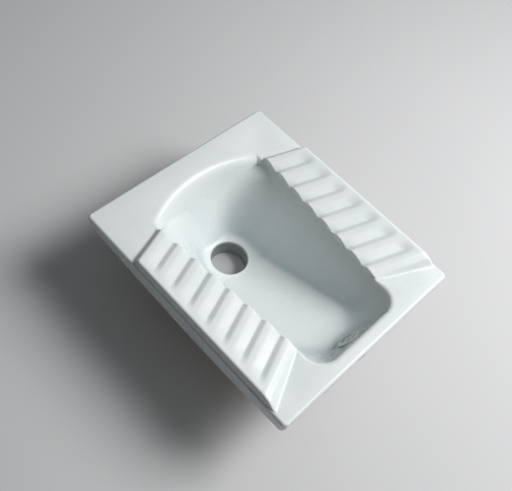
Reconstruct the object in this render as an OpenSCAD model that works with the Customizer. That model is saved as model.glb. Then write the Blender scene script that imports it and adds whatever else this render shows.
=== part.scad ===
// Squat toilet pan in glazed vitreous china: a rectangular deck with two ribbed
// foot treads, a tapering bowl that falls to a round outlet near the head end,
// and the fittings that a plumber pushes on to it.
//
// Frame: X across the pan, +Y towards the head (outlet) end, +Z up. The origin is
// the centre of the plan on the surface that the pan stands on. Millimetres.

/* [Deck] */
// Width of the deck, side to side
deck_w = 450; // [420:5:560]
// Length of the deck, foot end to head end
deck_l = 530; // [440:5:650]
// Height of the deck's outer edge above the surface the pan stands on
deck_h = 205; // [185:1:250]
// Thickness of the china
wall = 12; // [9:0.5:16]
// Plan radius of the deck's corners
corner_r = 10; // [8:1:30]
// Radius of the deck's upper edge
edge_r = 6; // [2:0.5:7]
// Flat border before the deck starts to fall towards the bowl
border_w = 24; // [12:1:26]
// Fall of the deck towards the bowl, millimetres in each 100
deck_fall = 10; // [4:1:14]

/* [Skirt] */
// Depth of the skirt at its deepest, near the middle of the long sides
skirt_h = 46; // [36:1:70]
// Depth of the skirt across the head end
skirt_head_h = 23; // [20:1:34]
// Depth of the skirt across the foot end
skirt_foot_h = 34; // [30:1:36]
// Inward lean of the skirt from top to bottom, degrees
skirt_lean = 3; // [0:0.5:5]

/* [Bowl] */
// Width of the opening at the shoulders, where the treads start
bowl_w = 274; // [240:2:300]
// Narrowing of each side towards the foot, millimetres in each 100
bowl_taper = 8.75; // [4:0.25:10]
// Deck edge to the opening at the head end
head_margin = 66; // [60:1:80]
// Deck edge to the opening at the foot end
foot_margin = 29; // [26:1:45]
// Radius of the curved head end of the opening
head_r = 249; // [220:1:300]
// Radius where the head curve turns into the sides
shoulder_r = 22; // [10:1:28]
// Radius of the two corners at the foot end
foot_r = 38; // [30:1:44]
// Depth of the floor at the foot end, below the deck's edge
foot_depth = 80; // [70:1:95]
// Horizontal run of the side walls at the shoulders, from the rim to the floor
side_run = 86; // [70:1:90]
// Widening of each side of the floor towards the foot, millimetres in each 100
floor_splay = 5; // [0:0.5:8]
// Horizontal run of the foot wall from the rim to the floor
foot_run = 38; // [30:1:44]
// Horizontal run of the head wall from the rim to the floor
head_run = 64; // [56:1:66]
// Plan radius of the floor's corners at the head, as a share of its half width
floor_head_round = 0.8; // [0.6:0.05:0.9]
// Plan radius of the floor's corners at the foot
floor_foot_r = 32; // [26:1:40]
// Radius of the rim's inner edge at the head
lip_r = 24; // [10:0.5:26]
// Radius of the rim's inner edge at the foot
foot_lip_r = 4; // [2:0.5:6]
// Radius of the rim's inner edge below the treads
side_lip_r = 1; // [0.5:0.5:2]
// Share of the side wall's run taken by its even lean, the rest being its curve
wall_lean = 0.4; // [0.2:0.05:0.6]
// Share of the head wall's run taken by its even lean
head_lean = 0.55; // [0.4:0.05:0.8]

/* [Outlet] */
// Bore of the outlet
outlet_bore = 78; // [70:1:90]
// Deck edge at the head end to the centre of the outlet
outlet_from_head = 177; // [170:1:190]
// Depth of the outlet's edge below the deck's edge
outlet_depth = 160; // [140:1:165]
// Radius of the rounded edge that leads into the outlet
outlet_lip_r = 5; // [3:0.5:8]

/* [Foot treads] */
// Rise of the tread above the deck's edge, along its outer side
tread_rise = 18; // [12:0.5:24]
// Rise of the tread above the deck's edge, where the bowl is widest
tread_inner_rise = 5; // [3:0.5:8]
// Deck edge to the tread's outer side
tread_inset = 5; // [4:0.5:10]
// Radius of the tread's upper outer edge
tread_edge_r = 6; // [2:0.5:8]
// Radius of the tread's upper inner edge, over the bowl
tread_lip_r = 3; // [1:0.5:4]
// Deck edge at the head end to the first step, along the outer side
tread_start = 140; // [125:1:160]
// Deck edge at the foot end to the foot of the end ramp, along the outer side
tread_end = 27; // [22:1:60]
// Angle of the ribs to the square across the pan, degrees
rib_angle = 21.7; // [0:0.1:30]
// Spacing of the ribs along the pan
rib_pitch = 45; // [36:0.5:60]
// Depth of the groove between two ribs
groove_depth = 5; // [3:0.5:6]
// Run of the groove's easy slope, on the side towards the head end
groove_fall_run = 20; // [8:0.5:24]
// Run of the groove's steep slope, on the side towards the foot end
groove_rise_run = 10; // [5:0.5:12]
// Smooth strip left along the tread's outer side
strip_w = 8; // [6:1:28]
// Run of the first step
step_run = 11; // [6:0.5:14]
// Run of the end ramp
ramp_run = 27; // [20:1:40]
// Fall of the narrow ledge part of the way down the end ramp
ramp_ledge_fall = 0.6; // [0:0.1:1]
// Radius of the ribs' upper edges
rib_edge_r = 2; // [0.5:0.25:2.5]
// Radius at the bottom of the grooves
groove_root_r = 2; // [0.5:0.25:3]
// Run over which a groove climbs out at the smooth strip
groove_run_out = 20; // [7:1:32]
// Inward lean of the tread's outer side, degrees
tread_side_lean = 6; // [0:0.5:10]

/* [Fittings] */
// Depth of the flush inlet's centre below the deck's edge
inlet_depth = 50; // [48:1:52]
// Waterway of the inlet spud
inlet_bore = 36; // [32:1:38]
// Thickness of the spud's china round the waterway
spud_wall = 9; // [8:0.5:10]
// Widening of the spud's mouth to take the rubber bush, on the radius
socket_step = 4; // [3:0.5:5]
// Depth of the socket for the rubber bush
socket_l = 20; // [14:1:22]
// Deck's edge at the foot end to the outer face of the spud
spud_setback = 7; // [5:1:10]
// Thickness of the bush's outer flange
bush_flange_t = 4; // [2:0.5:5]
// Outside diameter of the flush pipe that the bush grips
flush_pipe_d = 32; // [28:1:34]
// Amount by which the rubber bush grips the pipe, on the diameter
bush_grip = 0.4; // [0.2:0.1:1]
// Length of the spreader's stub inside the spud
spreader_stub_l = 12; // [8:1:16]
// Thickness of the spreader's plastic
spreader_t = 3; // [2:0.25:4]
// Radius of the spreader's cap
spreader_r = 24; // [20:1:26]
// Number of slots in the spreader
slot_n = 5; // [3:1:7]
// Angle between the outer two slots, degrees
slot_spread = 140; // [90:5:150]
// Width of each slot
slot_w = 3.5; // [2:0.25:4]
// Length of each slot
slot_l = 11; // [8:0.5:12]
// Chamfer at the foot of the horn
horn_chamfer = 2; // [1:0.5:4]
// Flare of the horn where it is luted to the bowl
horn_flare = 5; // [2:0.5:8]
// Thickness of the outlet seal's sleeve
seal_wall = 3; // [2:0.5:4]
// Number of lips round the outlet seal
seal_lip_n = 3; // [2:1:4]
// Plain part of the seal below its first lip
seal_lead = 3; // [2:0.5:4]
// Reach of the outlet seal's lips beyond its sleeve
seal_lip = 3; // [2:0.5:5]
// Space between the outlet seal and the flare above it
seal_room = 1; // [0.5:0.5:6]
// Thickness of the bearing web under the foot end
web_t = 14; // [10:1:20]
// Foot end of the deck to the middle of the bearing web
web_from_foot = 122; // [100:1:150]
// Half width of the bearing web at the feet
web_foot_half = 88; // [80:1:96]
// Half width of the bearing web under the bowl
web_top_half = 76; // [66:1:80]
// Half width of the arch between the web's feet
web_arch_half = 54; // [40:1:58]
// Room round the spud in the skirt's notch
spud_room = 3; // [1:0.5:5]
// Clearance between a fitting and its seat
fit_gap = 0.2; // [0.1:0.05:0.4]

/* [Hidden] */
$fn = 64;

// Colours of the glazed china, the rubber and the moulded plastic
china_c = [0.88, 0.9, 0.9];
bisque_c = [0.8, 0.79, 0.75];
rubber_c = [0.16, 0.16, 0.17];
plastic_c = [0.9, 0.9, 0.88];

// A little more than nothing, so that a cutter reaches through a face
over = 1;

half_w = deck_w / 2;
half_l = deck_l / 2;
fall = deck_fall / 100;
taper = bowl_taper / 100;
splay = floor_splay / 100;

// Key stations along Y
head_y = half_l - head_margin;
foot_y = -half_l + foot_margin;
head_centre_y = head_y - head_r;
outlet_y = half_l - outlet_from_head;
shoulder_y = head_centre_y + sqrt(head_r * head_r - bowl_w * bowl_w / 4);

// Key heights
outlet_z = deck_h - outlet_depth;
horn_top_z = outlet_z - wall;
seal_h = horn_top_z - horn_flare - horn_chamfer - seal_lead - seal_room;
foot_floor_z = deck_h - foot_depth;
inlet_z = deck_h - inlet_depth;

outlet_r = outlet_bore / 2;
horn_r = outlet_r + wall;

// ---------------------------------------------------------------------------
// Deck: one edge profile carried round the plan, dished to the bowl, hollow below
// ---------------------------------------------------------------------------

// Outer edge of the deck, from the top inwards point round to the skirt's foot.
// X is measured from the vertical face at the deck's widest, Z from the deck's edge.
function edge_profile() = concat(
    [for (a = [90:-15:0]) [edge_r * (cos(a) - 1), edge_r * (sin(a) - 1)]],
    [[-tan(skirt_lean) * skirt_h, -skirt_h]]
);

// Slab with the edge profile all round and the given plan size
module edge_slab(w, l, r) {
    edge = edge_profile();
    across = concat(
        [for (p = edge) [w / 2 + p[0], p[1]]],
        [for (i = [len(edge) - 1:-1:0]) [-w / 2 - edge[i][0], edge[i][1]]]
    );
    along = concat(
        [for (p = edge) [l / 2 + p[0], p[1]]],
        [for (i = [len(edge) - 1:-1:0]) [-l / 2 - edge[i][0], edge[i][1]]]
    );
    corner = concat([[0, 0]], [for (p = edge) [r + p[0], p[1]]], [[0, -skirt_h]]);
    translate([0, l / 2 - r, deck_h])
        rotate([90, 0, 0])
            linear_extrude(l - 2 * r)
                polygon(across);
    translate([-w / 2 + r, 0, deck_h])
        rotate([90, 0, 90])
            linear_extrude(w - 2 * r)
                polygon(along);
    for (sx = [0, 1])
        for (sy = [0, 1])
            mirror([sx, 0, 0])
                mirror([0, sy, 0])
                    translate([w / 2 - r, l / 2 - r, deck_h])
                        rotate_extrude(angle = 90)
                            polygon(corner);
}

// Depth of the skirt at a station along the pan: a parabola through the two ends
// that is deepest where its slope is nil
skirt_head_drop = skirt_h - skirt_head_h;
skirt_foot_drop = skirt_h - skirt_foot_h;
skirt_share = sqrt(skirt_foot_drop) / (sqrt(skirt_head_drop) + sqrt(skirt_foot_drop));
skirt_deep_y = -half_l + deck_l * skirt_share;
function skirt_depth(y) =
    skirt_h - skirt_head_drop * pow((y - skirt_deep_y) / (half_l - skirt_deep_y), 2);

// Everything above the skirt's bowed lower edge
module skirt_bow() {
    steps = 24;
    bow = [
        for (i = [0:steps])
            let (y = -half_l - over + (deck_l + 2 * over) * i / steps)
                [y, deck_h - skirt_depth(y)]
    ];
    side = concat(bow, [[half_l + over, deck_h + over], [-half_l - over, deck_h + over]]);
    translate([-half_w - over, 0, 0])
        rotate([90, 0, 90])
            linear_extrude(deck_w + 2 * over)
                polygon(side);
}

// Height of the dished deck at a point of the plan
function deck_z(x, y) =
    deck_h - fall * max(0, min(half_w - border_w - abs(x), half_l - border_w - abs(y)));

// Space above the dished part of the deck: an upturned hipped roof
module dish() {
    dish_run = half_w - border_w - over;
    hull() {
        translate([0, 0, deck_h])
            linear_extrude(over / 100)
                square([deck_w - 2 * border_w, deck_l - 2 * border_w], center = true);
        translate([0, 0, deck_h - fall * dish_run])
            linear_extrude(over / 100)
                square([2 * over, deck_l - deck_w + 2 * over], center = true);
    }
    translate([0, 0, deck_h])
        linear_extrude(over)
            square([deck_w - 2 * border_w, deck_l - 2 * border_w], center = true);
}

// Slab with its dish, before it is hollowed and opened
module dished_slab() {
    difference() {
        intersection() {
            edge_slab(deck_w, deck_l, corner_r);
            skirt_bow();
        }
        dish();
    }
}

// Space inside the skirt, under a plate of even thickness
module deck_hollow() {
    lean = tan(skirt_lean) * skirt_h;
    inner_w = deck_w - 2 * (wall + lean);
    inner_l = deck_l - 2 * (wall + lean);
    difference() {
        translate([0, 0, deck_h - skirt_h - over])
            linear_extrude(skirt_h + over - wall)
                square([inner_w, inner_l], center = true);
        translate([0, 0, -wall])
            dish();
    }
}

module deck() {
    color(china_c)
        difference() {
            dished_slab();
            deck_hollow();
            translate([0, 0, deck_h - skirt_h - over])
                linear_extrude(skirt_h + 2 * over)
                    polygon(seam());
            along_spud(spud_r + spud_room, -half_l - over, -half_l + 2 * wall);
        }
}

// ---------------------------------------------------------------------------
// Bowl: a loft of tangent outlines from the rim to the outlet, with an even wall
// ---------------------------------------------------------------------------

// Points in each part of half an outline
foot_n = 4;
corner_n = 8;
side_n = 10;
shoulder_n = 8;
arc_n = 8;

// Depth shares and floor shares at which the loft has its outlines
wall_steps = [for (a = [10:10:90]) sin(a)];
floor_steps = [0.25, 0.5, 0.75, 1];

// Angle through which the rim's edge turns before the wall takes over
lip_turn = 72;

// Flat land of the rim outside its rounded edge at the head
rim_land = 4;

// Share of a wall's run used at a depth share f: an even lean, then a quarter ellipse
function wall_share(f, lean) = lean * f + (1 - lean) * (1 - sqrt(1 - f * f));

// Half of the opening's outline, foot centre to head centre, drawn inwards by the
// three insets; a negative inset draws it outwards. f runs from 0 at the rim to 1
// at the floor, where the corners are rounder and the sides spread to the foot.
function half_outline(side_in, foot_in, head_in, f) =
    let (
        out = min(side_in, 0),
        lean = taper - (taper + splay) * wall_share(f, wall_lean),
        slant = sqrt(1 + lean * lean),
        rounding = 1 - pow(1 - f, 3),
        half = bowl_w / 2 - side_in,
        y_foot = foot_y + foot_in,
        r_foot = foot_r - out + (floor_foot_r - foot_r) * f,
        r_head = head_r - head_in,
        r_turn = (shoulder_r - out) * (1 - rounding) + floor_head_round * half * rounding,
        base_x = bowl_w / 2 - lean * shoulder_y - side_in * slant,
        foot_cy = y_foot + r_foot,
        foot_cx = base_x + lean * foot_cy - r_foot * slant,
        turn_x = base_x - r_turn * slant,
        a = 1 + lean * lean,
        b = lean * turn_x - head_centre_y,
        c = turn_x * turn_x + head_centre_y * head_centre_y - pow(r_head - r_turn, 2),
        turn_cy = (-b + sqrt(b * b - a * c)) / a,
        turn_cx = turn_x + lean * turn_cy,
        low = -atan(lean),
        high = atan2(turn_cy - head_centre_y, turn_cx),
        side_a = [foot_cx + r_foot * cos(low), foot_cy + r_foot * sin(low)],
        side_b = [turn_cx + r_turn * cos(low), turn_cy + r_turn * sin(low)]
    )
    concat(
        [for (i = [0:foot_n - 1]) [foot_cx * i / foot_n, y_foot]],
        [
            for (i = [0:corner_n - 1])
                let (t = -90 + (90 + low) * i / corner_n)
                    [foot_cx + r_foot * cos(t), foot_cy + r_foot * sin(t)]
        ],
        [for (i = [0:side_n - 1]) side_a + (side_b - side_a) * i / side_n],
        [
            for (i = [0:shoulder_n - 1])
                let (t = low + (high - low) * i / shoulder_n)
                    [turn_cx + r_turn * cos(t), turn_cy + r_turn * sin(t)]
        ],
        [
            for (i = [0:arc_n])
                let (t = high + (90 - high) * i / arc_n)
                    [r_head * cos(t), head_centre_y + r_head * sin(t)]
        ]
    );

// Whole outline, anticlockwise from the middle of the foot end
function outline(side_in, foot_in, head_in, f) =
    let (half = half_outline(side_in, foot_in, head_in, f), n = len(half))
        concat(half, [for (i = [n - 2:-1:1]) [-half[i][0], half[i][1]]]);

// Seam between the bowl's rim and the deck
function seam() = outline(-wall, -wall, -max(wall, lip_r + rim_land), 0);

// Height of the floor along the pan: an even fall from the foot to the outlet
floor_start_y = foot_y + foot_run;
floor_end_y = outlet_y - outlet_r - outlet_lip_r;
function floor_z(y) =
    foot_floor_z
    + (outlet_z - foot_floor_z)
    * max(0, min(1, (y - floor_start_y) / (floor_end_y - floor_start_y)));

// The rim's rounded inner edge, from the deck's face at angle 0 down to the wall
function lip_ring(angle) =
    let (
        k = 1 - sin(angle),
        wide = outline(-side_lip_r, -foot_lip_r, -lip_r, 0),
        line = outline(0, 0, 0, 0),
        pts = outline(-side_lip_r * k, -foot_lip_r * k, -lip_r * k, 0)
    )
    [
        for (i = [0:len(pts) - 1])
            let (p = pts[i], r = norm(wide[i] - line[i]))
                [p[0], p[1], deck_z(wide[i][0], wide[i][1]) - r * (1 - cos(angle))]
    ];

// Outline at depth share f, each point between the lip above it and the floor
function wall_ring(f, grow) =
    let (
        lip = lip_ring(lip_turn),
        side_in = side_run * wall_share(f, wall_lean) - grow,
        foot_in = foot_run * wall_share(f, wall_lean) - grow,
        pts = outline(side_in, foot_in, head_run * wall_share(f, head_lean) - grow, f)
    )
    [
        for (i = [0:len(pts) - 1])
            let (p = pts[i], top = lip[i][2], low = floor_z(p[1]) - grow)
                [p[0], p[1], top + (low - top) * f]
    ];

// Ring on a circle about the outlet, each point towards its point of the outline
function outlet_ring(r, z) =
    [
        for (p = outline(side_run, foot_run, head_run, 1))
            let (d = [p[0], p[1] - outlet_y], s = r / norm(d))
                [d[0] * s, outlet_y + d[1] * s, z]
    ];

// Ring part of the way from the floor's edge to the outlet
function floor_ring(t, grow) =
    let (
        from = wall_ring(1, grow),
        to = outlet_ring(outlet_r + max(grow, outlet_lip_r), outlet_z - grow)
    )
    [for (i = [0:len(from) - 1]) from[i] * (1 - t) + to[i] * t];

// Inner surface from the rim down to the outlet's edge
function inner_rings() = concat(
    [for (i = [0:3]) lip_ring(lip_turn * i / 3)],
    [for (f = wall_steps) wall_ring(f, 0)],
    [for (t = floor_steps) floor_ring(t, 0)],
    [
        for (a = [30, 60])
            outlet_ring(outlet_r + outlet_lip_r * (1 - sin(a)),
                        outlet_z - outlet_lip_r * (1 - cos(a)))
    ],
    [outlet_ring(outlet_r - fit_gap, outlet_z - outlet_lip_r)]
);

// Outer surface from the underside of the rim down to the outlet's foot
function outer_rings() = concat(
    [for (f = wall_steps) wall_ring(f, wall)],
    [for (t = floor_steps) floor_ring(t, wall)]
);

function flip(list) = [for (i = [len(list) - 1:-1:0]) list[i]];

// Faces between neighbouring rings of n points; closed joins the last to the first.
// The two halves of a ring are split by mirrored diagonals.
function ring_faces(rings, n, closed) =
    [
        for (r = [0:rings - (closed ? 1 : 2)])
            for (i = [0:n - 1])
                let (
                    s = (r + 1) % rings,
                    j = (i + 1) % n,
                    a = r * n + i,
                    b = r * n + j,
                    c = s * n + j,
                    d = s * n + i
                )
                    each i < n / 2 ? [[a, c, b], [a, d, c]] : [[a, d, b], [b, d, c]]
    ];

// Cap of a ring of n points, a fan from the middle of the curved head
function cap_faces(first, n) =
    let (head = n / 2)
        [for (i = [1:n - 2]) [first + head, first + (head + i) % n, first + (head + i + 1) % n]];

module rings_solid(rings, closed) {
    n = len(rings[0]);
    points = [for (ring = rings) each ring];
    skin = ring_faces(len(rings), n, closed);
    last = (len(rings) - 1) * n;
    caps = closed
        ? []
        : concat(cap_faces(0, n), [for (f = cap_faces(last, n)) flip(f)]);
    polyhedron(points = points, faces = concat(skin, caps), convexity = 8);
}

// Top edge of the seam, and a ring lowered by a depth
function seam_ring() = [for (p = seam()) [p[0], p[1], deck_z(p[0], p[1])]];
function lowered(ring, depth) = [for (p = ring) p - [0, 0, depth]];

module bowl_shell() {
    collar = lowered(seam_ring(), wall);
    foot_in = outlet_ring(outlet_r - fit_gap, horn_top_z);
    rings = concat(inner_rings(), [foot_in], flip(outer_rings()), [collar, seam_ring()]);
    rings_solid(rings, true);
}

// Land between the seam and the rim's rounded edge, on which the treads bed
module rim_land_band() {
    rings = [lip_ring(0), lowered(lip_ring(0), wall), lowered(seam_ring(), wall), seam_ring()];
    rings_solid(rings, true);
}

// Solid out to the bowl's outer face, which trims what is luted underneath
module bowl_envelope() {
    top = [for (p = seam()) [p[0], p[1], deck_h]];
    rings_solid(concat(flip(outer_rings()), [top]), false);
}

module bowl() {
    color(china_c)
        difference() {
            bowl_shell();
            along_spud(spud_r, foot_y - 2 * wall, foot_y + foot_run);
            translate([0, outlet_y, horn_top_z - over])
                cylinder(r = outlet_r, h = wall + over, $fn = 96);
        }
}

// ---------------------------------------------------------------------------
// Foot treads: a ribbed bar drawn along the ribs and trimmed to the deck
// ---------------------------------------------------------------------------

// Corner p of an outline, between its neighbours a and b, rounded to radius r
function round_corner(a, p, b, r, n = 4) =
    let (
        u = (a - p) / norm(a - p),
        w = (b - p) / norm(b - p),
        half = acos(max(-1, min(1, u * w))) / 2,
        c = p + (u + w) / norm(u + w) * r / sin(half),
        s = p + u * r / tan(half) - c,
        e = p + w * r / tan(half) - c,
        from = atan2(s[1], s[0]),
        turn = (atan2(e[1], e[0]) - from + 540) % 360 - 180
    )
    [for (i = [0:n]) c + r * [cos(from + turn * i / n), sin(from + turn * i / n)]];

// Outline of [x, y, radius] points, with each corner rounded to its radius
function rounded(pts) =
    let (n = len(pts))
    [
        for (i = [0:n - 1])
            let (
                a = pts[(i + n - 1) % n],
                p = pts[i],
                b = pts[(i + 1) % n]
            )
                each p[2] > 0
                    ? round_corner([a[0], a[1]], [p[0], p[1]], [b[0], b[1]], p[2])
                    : [[p[0], p[1]]]
    ];

// Distances square to the ribs
square_to_rib = cos(rib_angle);
bar_l = (deck_l - tread_start - tread_end) * square_to_rib;
pitch = rib_pitch * square_to_rib;
groove_n = floor((bar_l - ramp_run - groove_rise_run) / pitch);

// Fall of the tread's top towards the bowl, degrees
tread_tilt = atan((tread_rise - tread_inner_rise) / (half_w - bowl_w / 2));

// Depth to which the bar is drawn below the tread's top
bar_depth = tread_rise + wall;

// Section of the bar square to its ribs: X runs towards the foot end from the
// middle of the first step, and Y is height from the tread's top
function bar_section(ribbed) =
    let (
        step_slope = step_run / tread_rise,
        brow = bar_l - ramp_run,
        ledge = 0.3 * ramp_run,
        ledge_drop = 0.2 * tread_rise,
        ramp_slope = (ramp_run - 1.5 * ledge) / (tread_rise - ledge_drop)
    )
    rounded(concat(
        [
            [step_run / 2 - step_slope * bar_depth, -bar_depth, 0],
            [step_run / 2, 0, rib_edge_r]
        ],
        [
            for (i = [1:ribbed ? groove_n : 0])
                let (top = i * pitch + groove_rise_run / 2, low = top - groove_rise_run)
                    each [
                        [low - groove_fall_run, 0, rib_edge_r],
                        [low, -groove_depth, groove_root_r],
                        [top, 0, rib_edge_r]
                    ]
        ],
        [
            [brow, 0, rib_edge_r],
            [brow + ledge, -ledge_drop, rib_edge_r],
            [brow + 1.5 * ledge, -ledge_drop - ramp_ledge_fall, rib_edge_r],
            [brow + 1.5 * ledge + ramp_slope * (bar_depth - ledge_drop), -bar_depth, 0]
        ]
    ));

// Frame of the tread on the +X side: the origin is over the deck's edge at the
// height of the tread's top, and X and Y lie in the tilted top
module tread_frame() {
    translate([half_w, 0, deck_h + tread_rise])
        rotate([0, -tread_tilt, 0])
            children();
}

// The bar, drawn along the ribs
module tread_bar(ribbed) {
    beyond = bar_l * tan(rib_angle) + 2 * border_w;
    translate([0, half_l - tread_start, 0])
        rotate([90, 0, -90 - rib_angle])
            translate([0, 0, -beyond])
                linear_extrude(beyond + half_w)
                    polygon(bar_section(ribbed));
}

// Room above the tread's top, so that no trim lies in the plane of the top
headroom = 2;

// Everything inside the tread's outer side and its rounded edge, in the tilted frame
module outer_trim() {
    lean = tan(tread_side_lean - tread_tilt) * bar_depth;
    rotate([90, 0, 0])
        linear_extrude(deck_l, center = true)
            polygon(rounded([
                [lean - tread_inset, -bar_depth, 0],
                [-tread_inset, 0, tread_edge_r],
                [-tread_inset - 2 * tread_edge_r, 0, 0],
                [-half_w, headroom, 0],
                [-half_w, -bar_depth, 0]
            ]));
}

// Everything outside the opening's side, with a rounded edge over the bowl
module inner_trim() {
    upright = tan(tread_tilt) * bar_depth;
    translate([(bowl_w / 2 - half_w) / cos(tread_tilt), shoulder_y, 0])
        rotate([90, 0, -atan(taper / cos(tread_tilt))])
            linear_extrude(2 * deck_l, center = true)
                polygon(rounded([
                    [-upright, -bar_depth, 0],
                    [0, 0, tread_lip_r],
                    [2 * tread_lip_r, 0, 0],
                    [half_w, headroom, 0],
                    [half_w, -bar_depth, 0]
                ]));
}

// Smooth strip along the outer side, where the grooves run out
module strip() {
    edge = -tread_inset - strip_w;
    rotate([90, 0, 0])
        linear_extrude(deck_l, center = true)
            polygon([
                [edge, headroom],
                [edge, 0],
                [edge - groove_run_out * bar_depth / groove_depth, -bar_depth],
                [border_w, -bar_depth],
                [border_w, headroom]
            ]);
}

// Tread of the +X side
module tread() {
    difference() {
        tread_frame()
            intersection() {
                union() {
                    tread_bar(true);
                    intersection() {
                        tread_bar(false);
                        strip();
                    }
                }
                outer_trim();
                inner_trim();
            }
        dished_slab();
        rim_land_band();
    }
}

module left_tread() {
    color(china_c)
        mirror([1, 0, 0])
            tread();
}

module right_tread() {
    color(china_c)
        tread();
}

// ---------------------------------------------------------------------------
// China parts luted underneath
// ---------------------------------------------------------------------------

// Spigot that enters the drain
module outlet_horn() {
    color(bisque_c)
        translate([0, outlet_y, 0])
            rotate_extrude($fn = 96)
                polygon([
                    [outlet_r, 0],
                    [horn_r - horn_chamfer, 0],
                    [horn_r, horn_chamfer],
                    [horn_r, horn_top_z - horn_flare],
                    [horn_r + horn_flare, horn_top_z],
                    [outlet_r, horn_top_z]
                ]);
}

// Inlet for the flush pipe, through the foot wall of the bowl
spud_r = inlet_bore / 2 + spud_wall;
socket_r = inlet_bore / 2 + socket_step;
spud_end_y = -half_l + spud_setback;

// Position of the foot wall's face at a height
foot_lip_z = deck_h - foot_lip_r * (1 - cos(lip_turn));
function foot_wall_y(z) =
    let (f = (foot_lip_z - z) / (foot_lip_z - foot_floor_z))
        foot_y + foot_run * wall_share(min(1, f), wall_lean);
mouth_top_y = foot_wall_y(inlet_z + spud_r);
mouth_low_y = foot_wall_y(inlet_z - spud_r);
mouth_y = (mouth_top_y + mouth_low_y) / 2;
mouth_angle = atan((mouth_low_y - mouth_top_y) / (2 * spud_r));

// Frame at the middle of the mouth, with Z out into the bowl, square to its wall
module mouth_frame() {
    translate([0, mouth_y, inlet_z])
        rotate([mouth_angle - 90, 0, 0])
            children();
}

// Cylinder along the spud's axis, between two stations
module along_spud(r, from_y, to_y) {
    translate([0, from_y, inlet_z])
        rotate([-90, 0, 0])
            cylinder(r = r, h = to_y - from_y, $fn = 96);
}

module inlet_spud() {
    color(bisque_c)
        difference() {
            along_spud(spud_r, spud_end_y, mouth_low_y + over);
            along_spud(inlet_bore / 2, spud_end_y - over, mouth_low_y + 2 * over);
            along_spud(socket_r, spud_end_y - over, spud_end_y + socket_l);
            mouth_frame()
                translate([0, 0, spud_r])
                    cube([4 * spud_r, 4 * spud_r, 2 * spud_r], center = true);
        }
}

// Web that carries the foot end, arched between its two feet
module bearing_web() {
    top_z = foot_floor_z;
    color(bisque_c)
        difference() {
            translate([0, web_t / 2 - half_l + web_from_foot, 0])
                rotate([90, 0, 0])
                    linear_extrude(web_t)
                        difference() {
                            polygon(rounded([
                                [web_foot_half, 0, 3],
                                [web_top_half, top_z, 0],
                                [-web_top_half, top_z, 0],
                                [-web_foot_half, 0, 3]
                            ]));
                            circle(r = web_arch_half);
                            translate([-web_arch_half, -over])
                                square([2 * web_arch_half, over]);
                        }
            bowl_envelope();
        }
}

// ---------------------------------------------------------------------------
// Fittings
// ---------------------------------------------------------------------------

// Cap over the inlet's mouth that spreads the flush over the floor
module flush_spreader() {
    stub_r = inlet_bore / 2 - fit_gap;
    color(plastic_c) {
        difference() {
            along_spud(stub_r, mouth_y - spreader_stub_l, mouth_low_y);
            along_spud(stub_r - spreader_t, mouth_y - spreader_stub_l - over, mouth_low_y + over);
            mouth_frame()
                translate([0, 0, spud_r])
                    cube([4 * spud_r, 4 * spud_r, 2 * spud_r], center = true);
        }
        mouth_frame()
            difference() {
                cylinder(r = spreader_r, h = spreader_t, $fn = 96);
                for (i = [0:slot_n - 1])
                    rotate((i - (slot_n - 1) / 2) * slot_spread / (slot_n - 1) - 90)
                        translate([slot_l, 0, -over])
                            linear_extrude(spreader_t + 2 * over)
                                square([slot_l, slot_w], center = true);
            }
    }
}

// Rubber bush that the flush pipe pushes into
module inlet_bush() {
    grip_r = (flush_pipe_d - bush_grip) / 2;
    lead = 2;
    color(rubber_c)
        translate([0, spud_end_y + socket_l, inlet_z])
            rotate([90, 0, 0])
                rotate_extrude($fn = 96)
                    polygon([
                        [grip_r, 0],
                        [socket_r - fit_gap - lead, 0],
                        [socket_r - fit_gap, lead],
                        [socket_r - fit_gap, socket_l],
                        [spud_r, socket_l],
                        [spud_r, socket_l + bush_flange_t],
                        [grip_r + lead, socket_l + bush_flange_t],
                        [grip_r, socket_l + bush_flange_t - lead]
                    ]);
}

// Rubber sleeve round the horn, with lips that seal against the drain
module outlet_seal() {
    in_r = horn_r + fit_gap;
    out_r = in_r + seal_wall;
    lip_pitch = (seal_h - seal_lead) / seal_lip_n;
    color(rubber_c)
        translate([0, outlet_y, horn_chamfer + seal_lead])
            rotate_extrude($fn = 96)
                polygon(concat(
                    [[in_r, seal_h], [in_r, 0], [out_r - 1, 0]],
                    [
                        for (i = [0:seal_lip_n - 1])
                            let (z = seal_lead + i * lip_pitch)
                                each [
                                    [out_r, z],
                                    [out_r + seal_lip, z + lip_pitch * 0.55],
                                    [out_r + seal_lip, z + lip_pitch * 0.7],
                                    [out_r, z + lip_pitch * 0.75]
                                ]
                    ],
                    [[out_r, seal_h]]
                ));
}

deck();
left_tread();
right_tread();
bowl();
outlet_horn();
inlet_spud();
bearing_web();
flush_spreader();
inlet_bush();
outlet_seal();
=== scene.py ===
"""Visual model of a squat toilet pan in glazed vitreous china, with its fittings.

Sizes are in metres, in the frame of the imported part: X across the pan, +Y to the
head (outlet) end, +Z up, and the origin on the surface that the pan stands on.
"""

import logging
import math
from collections.abc import Callable, Sequence
from dataclasses import dataclass, field
from enum import Enum, IntEnum

import bmesh
import bpy
import numpy as np
from mathutils import Matrix, Vector
from mathutils.bvhtree import BVHTree


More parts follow.
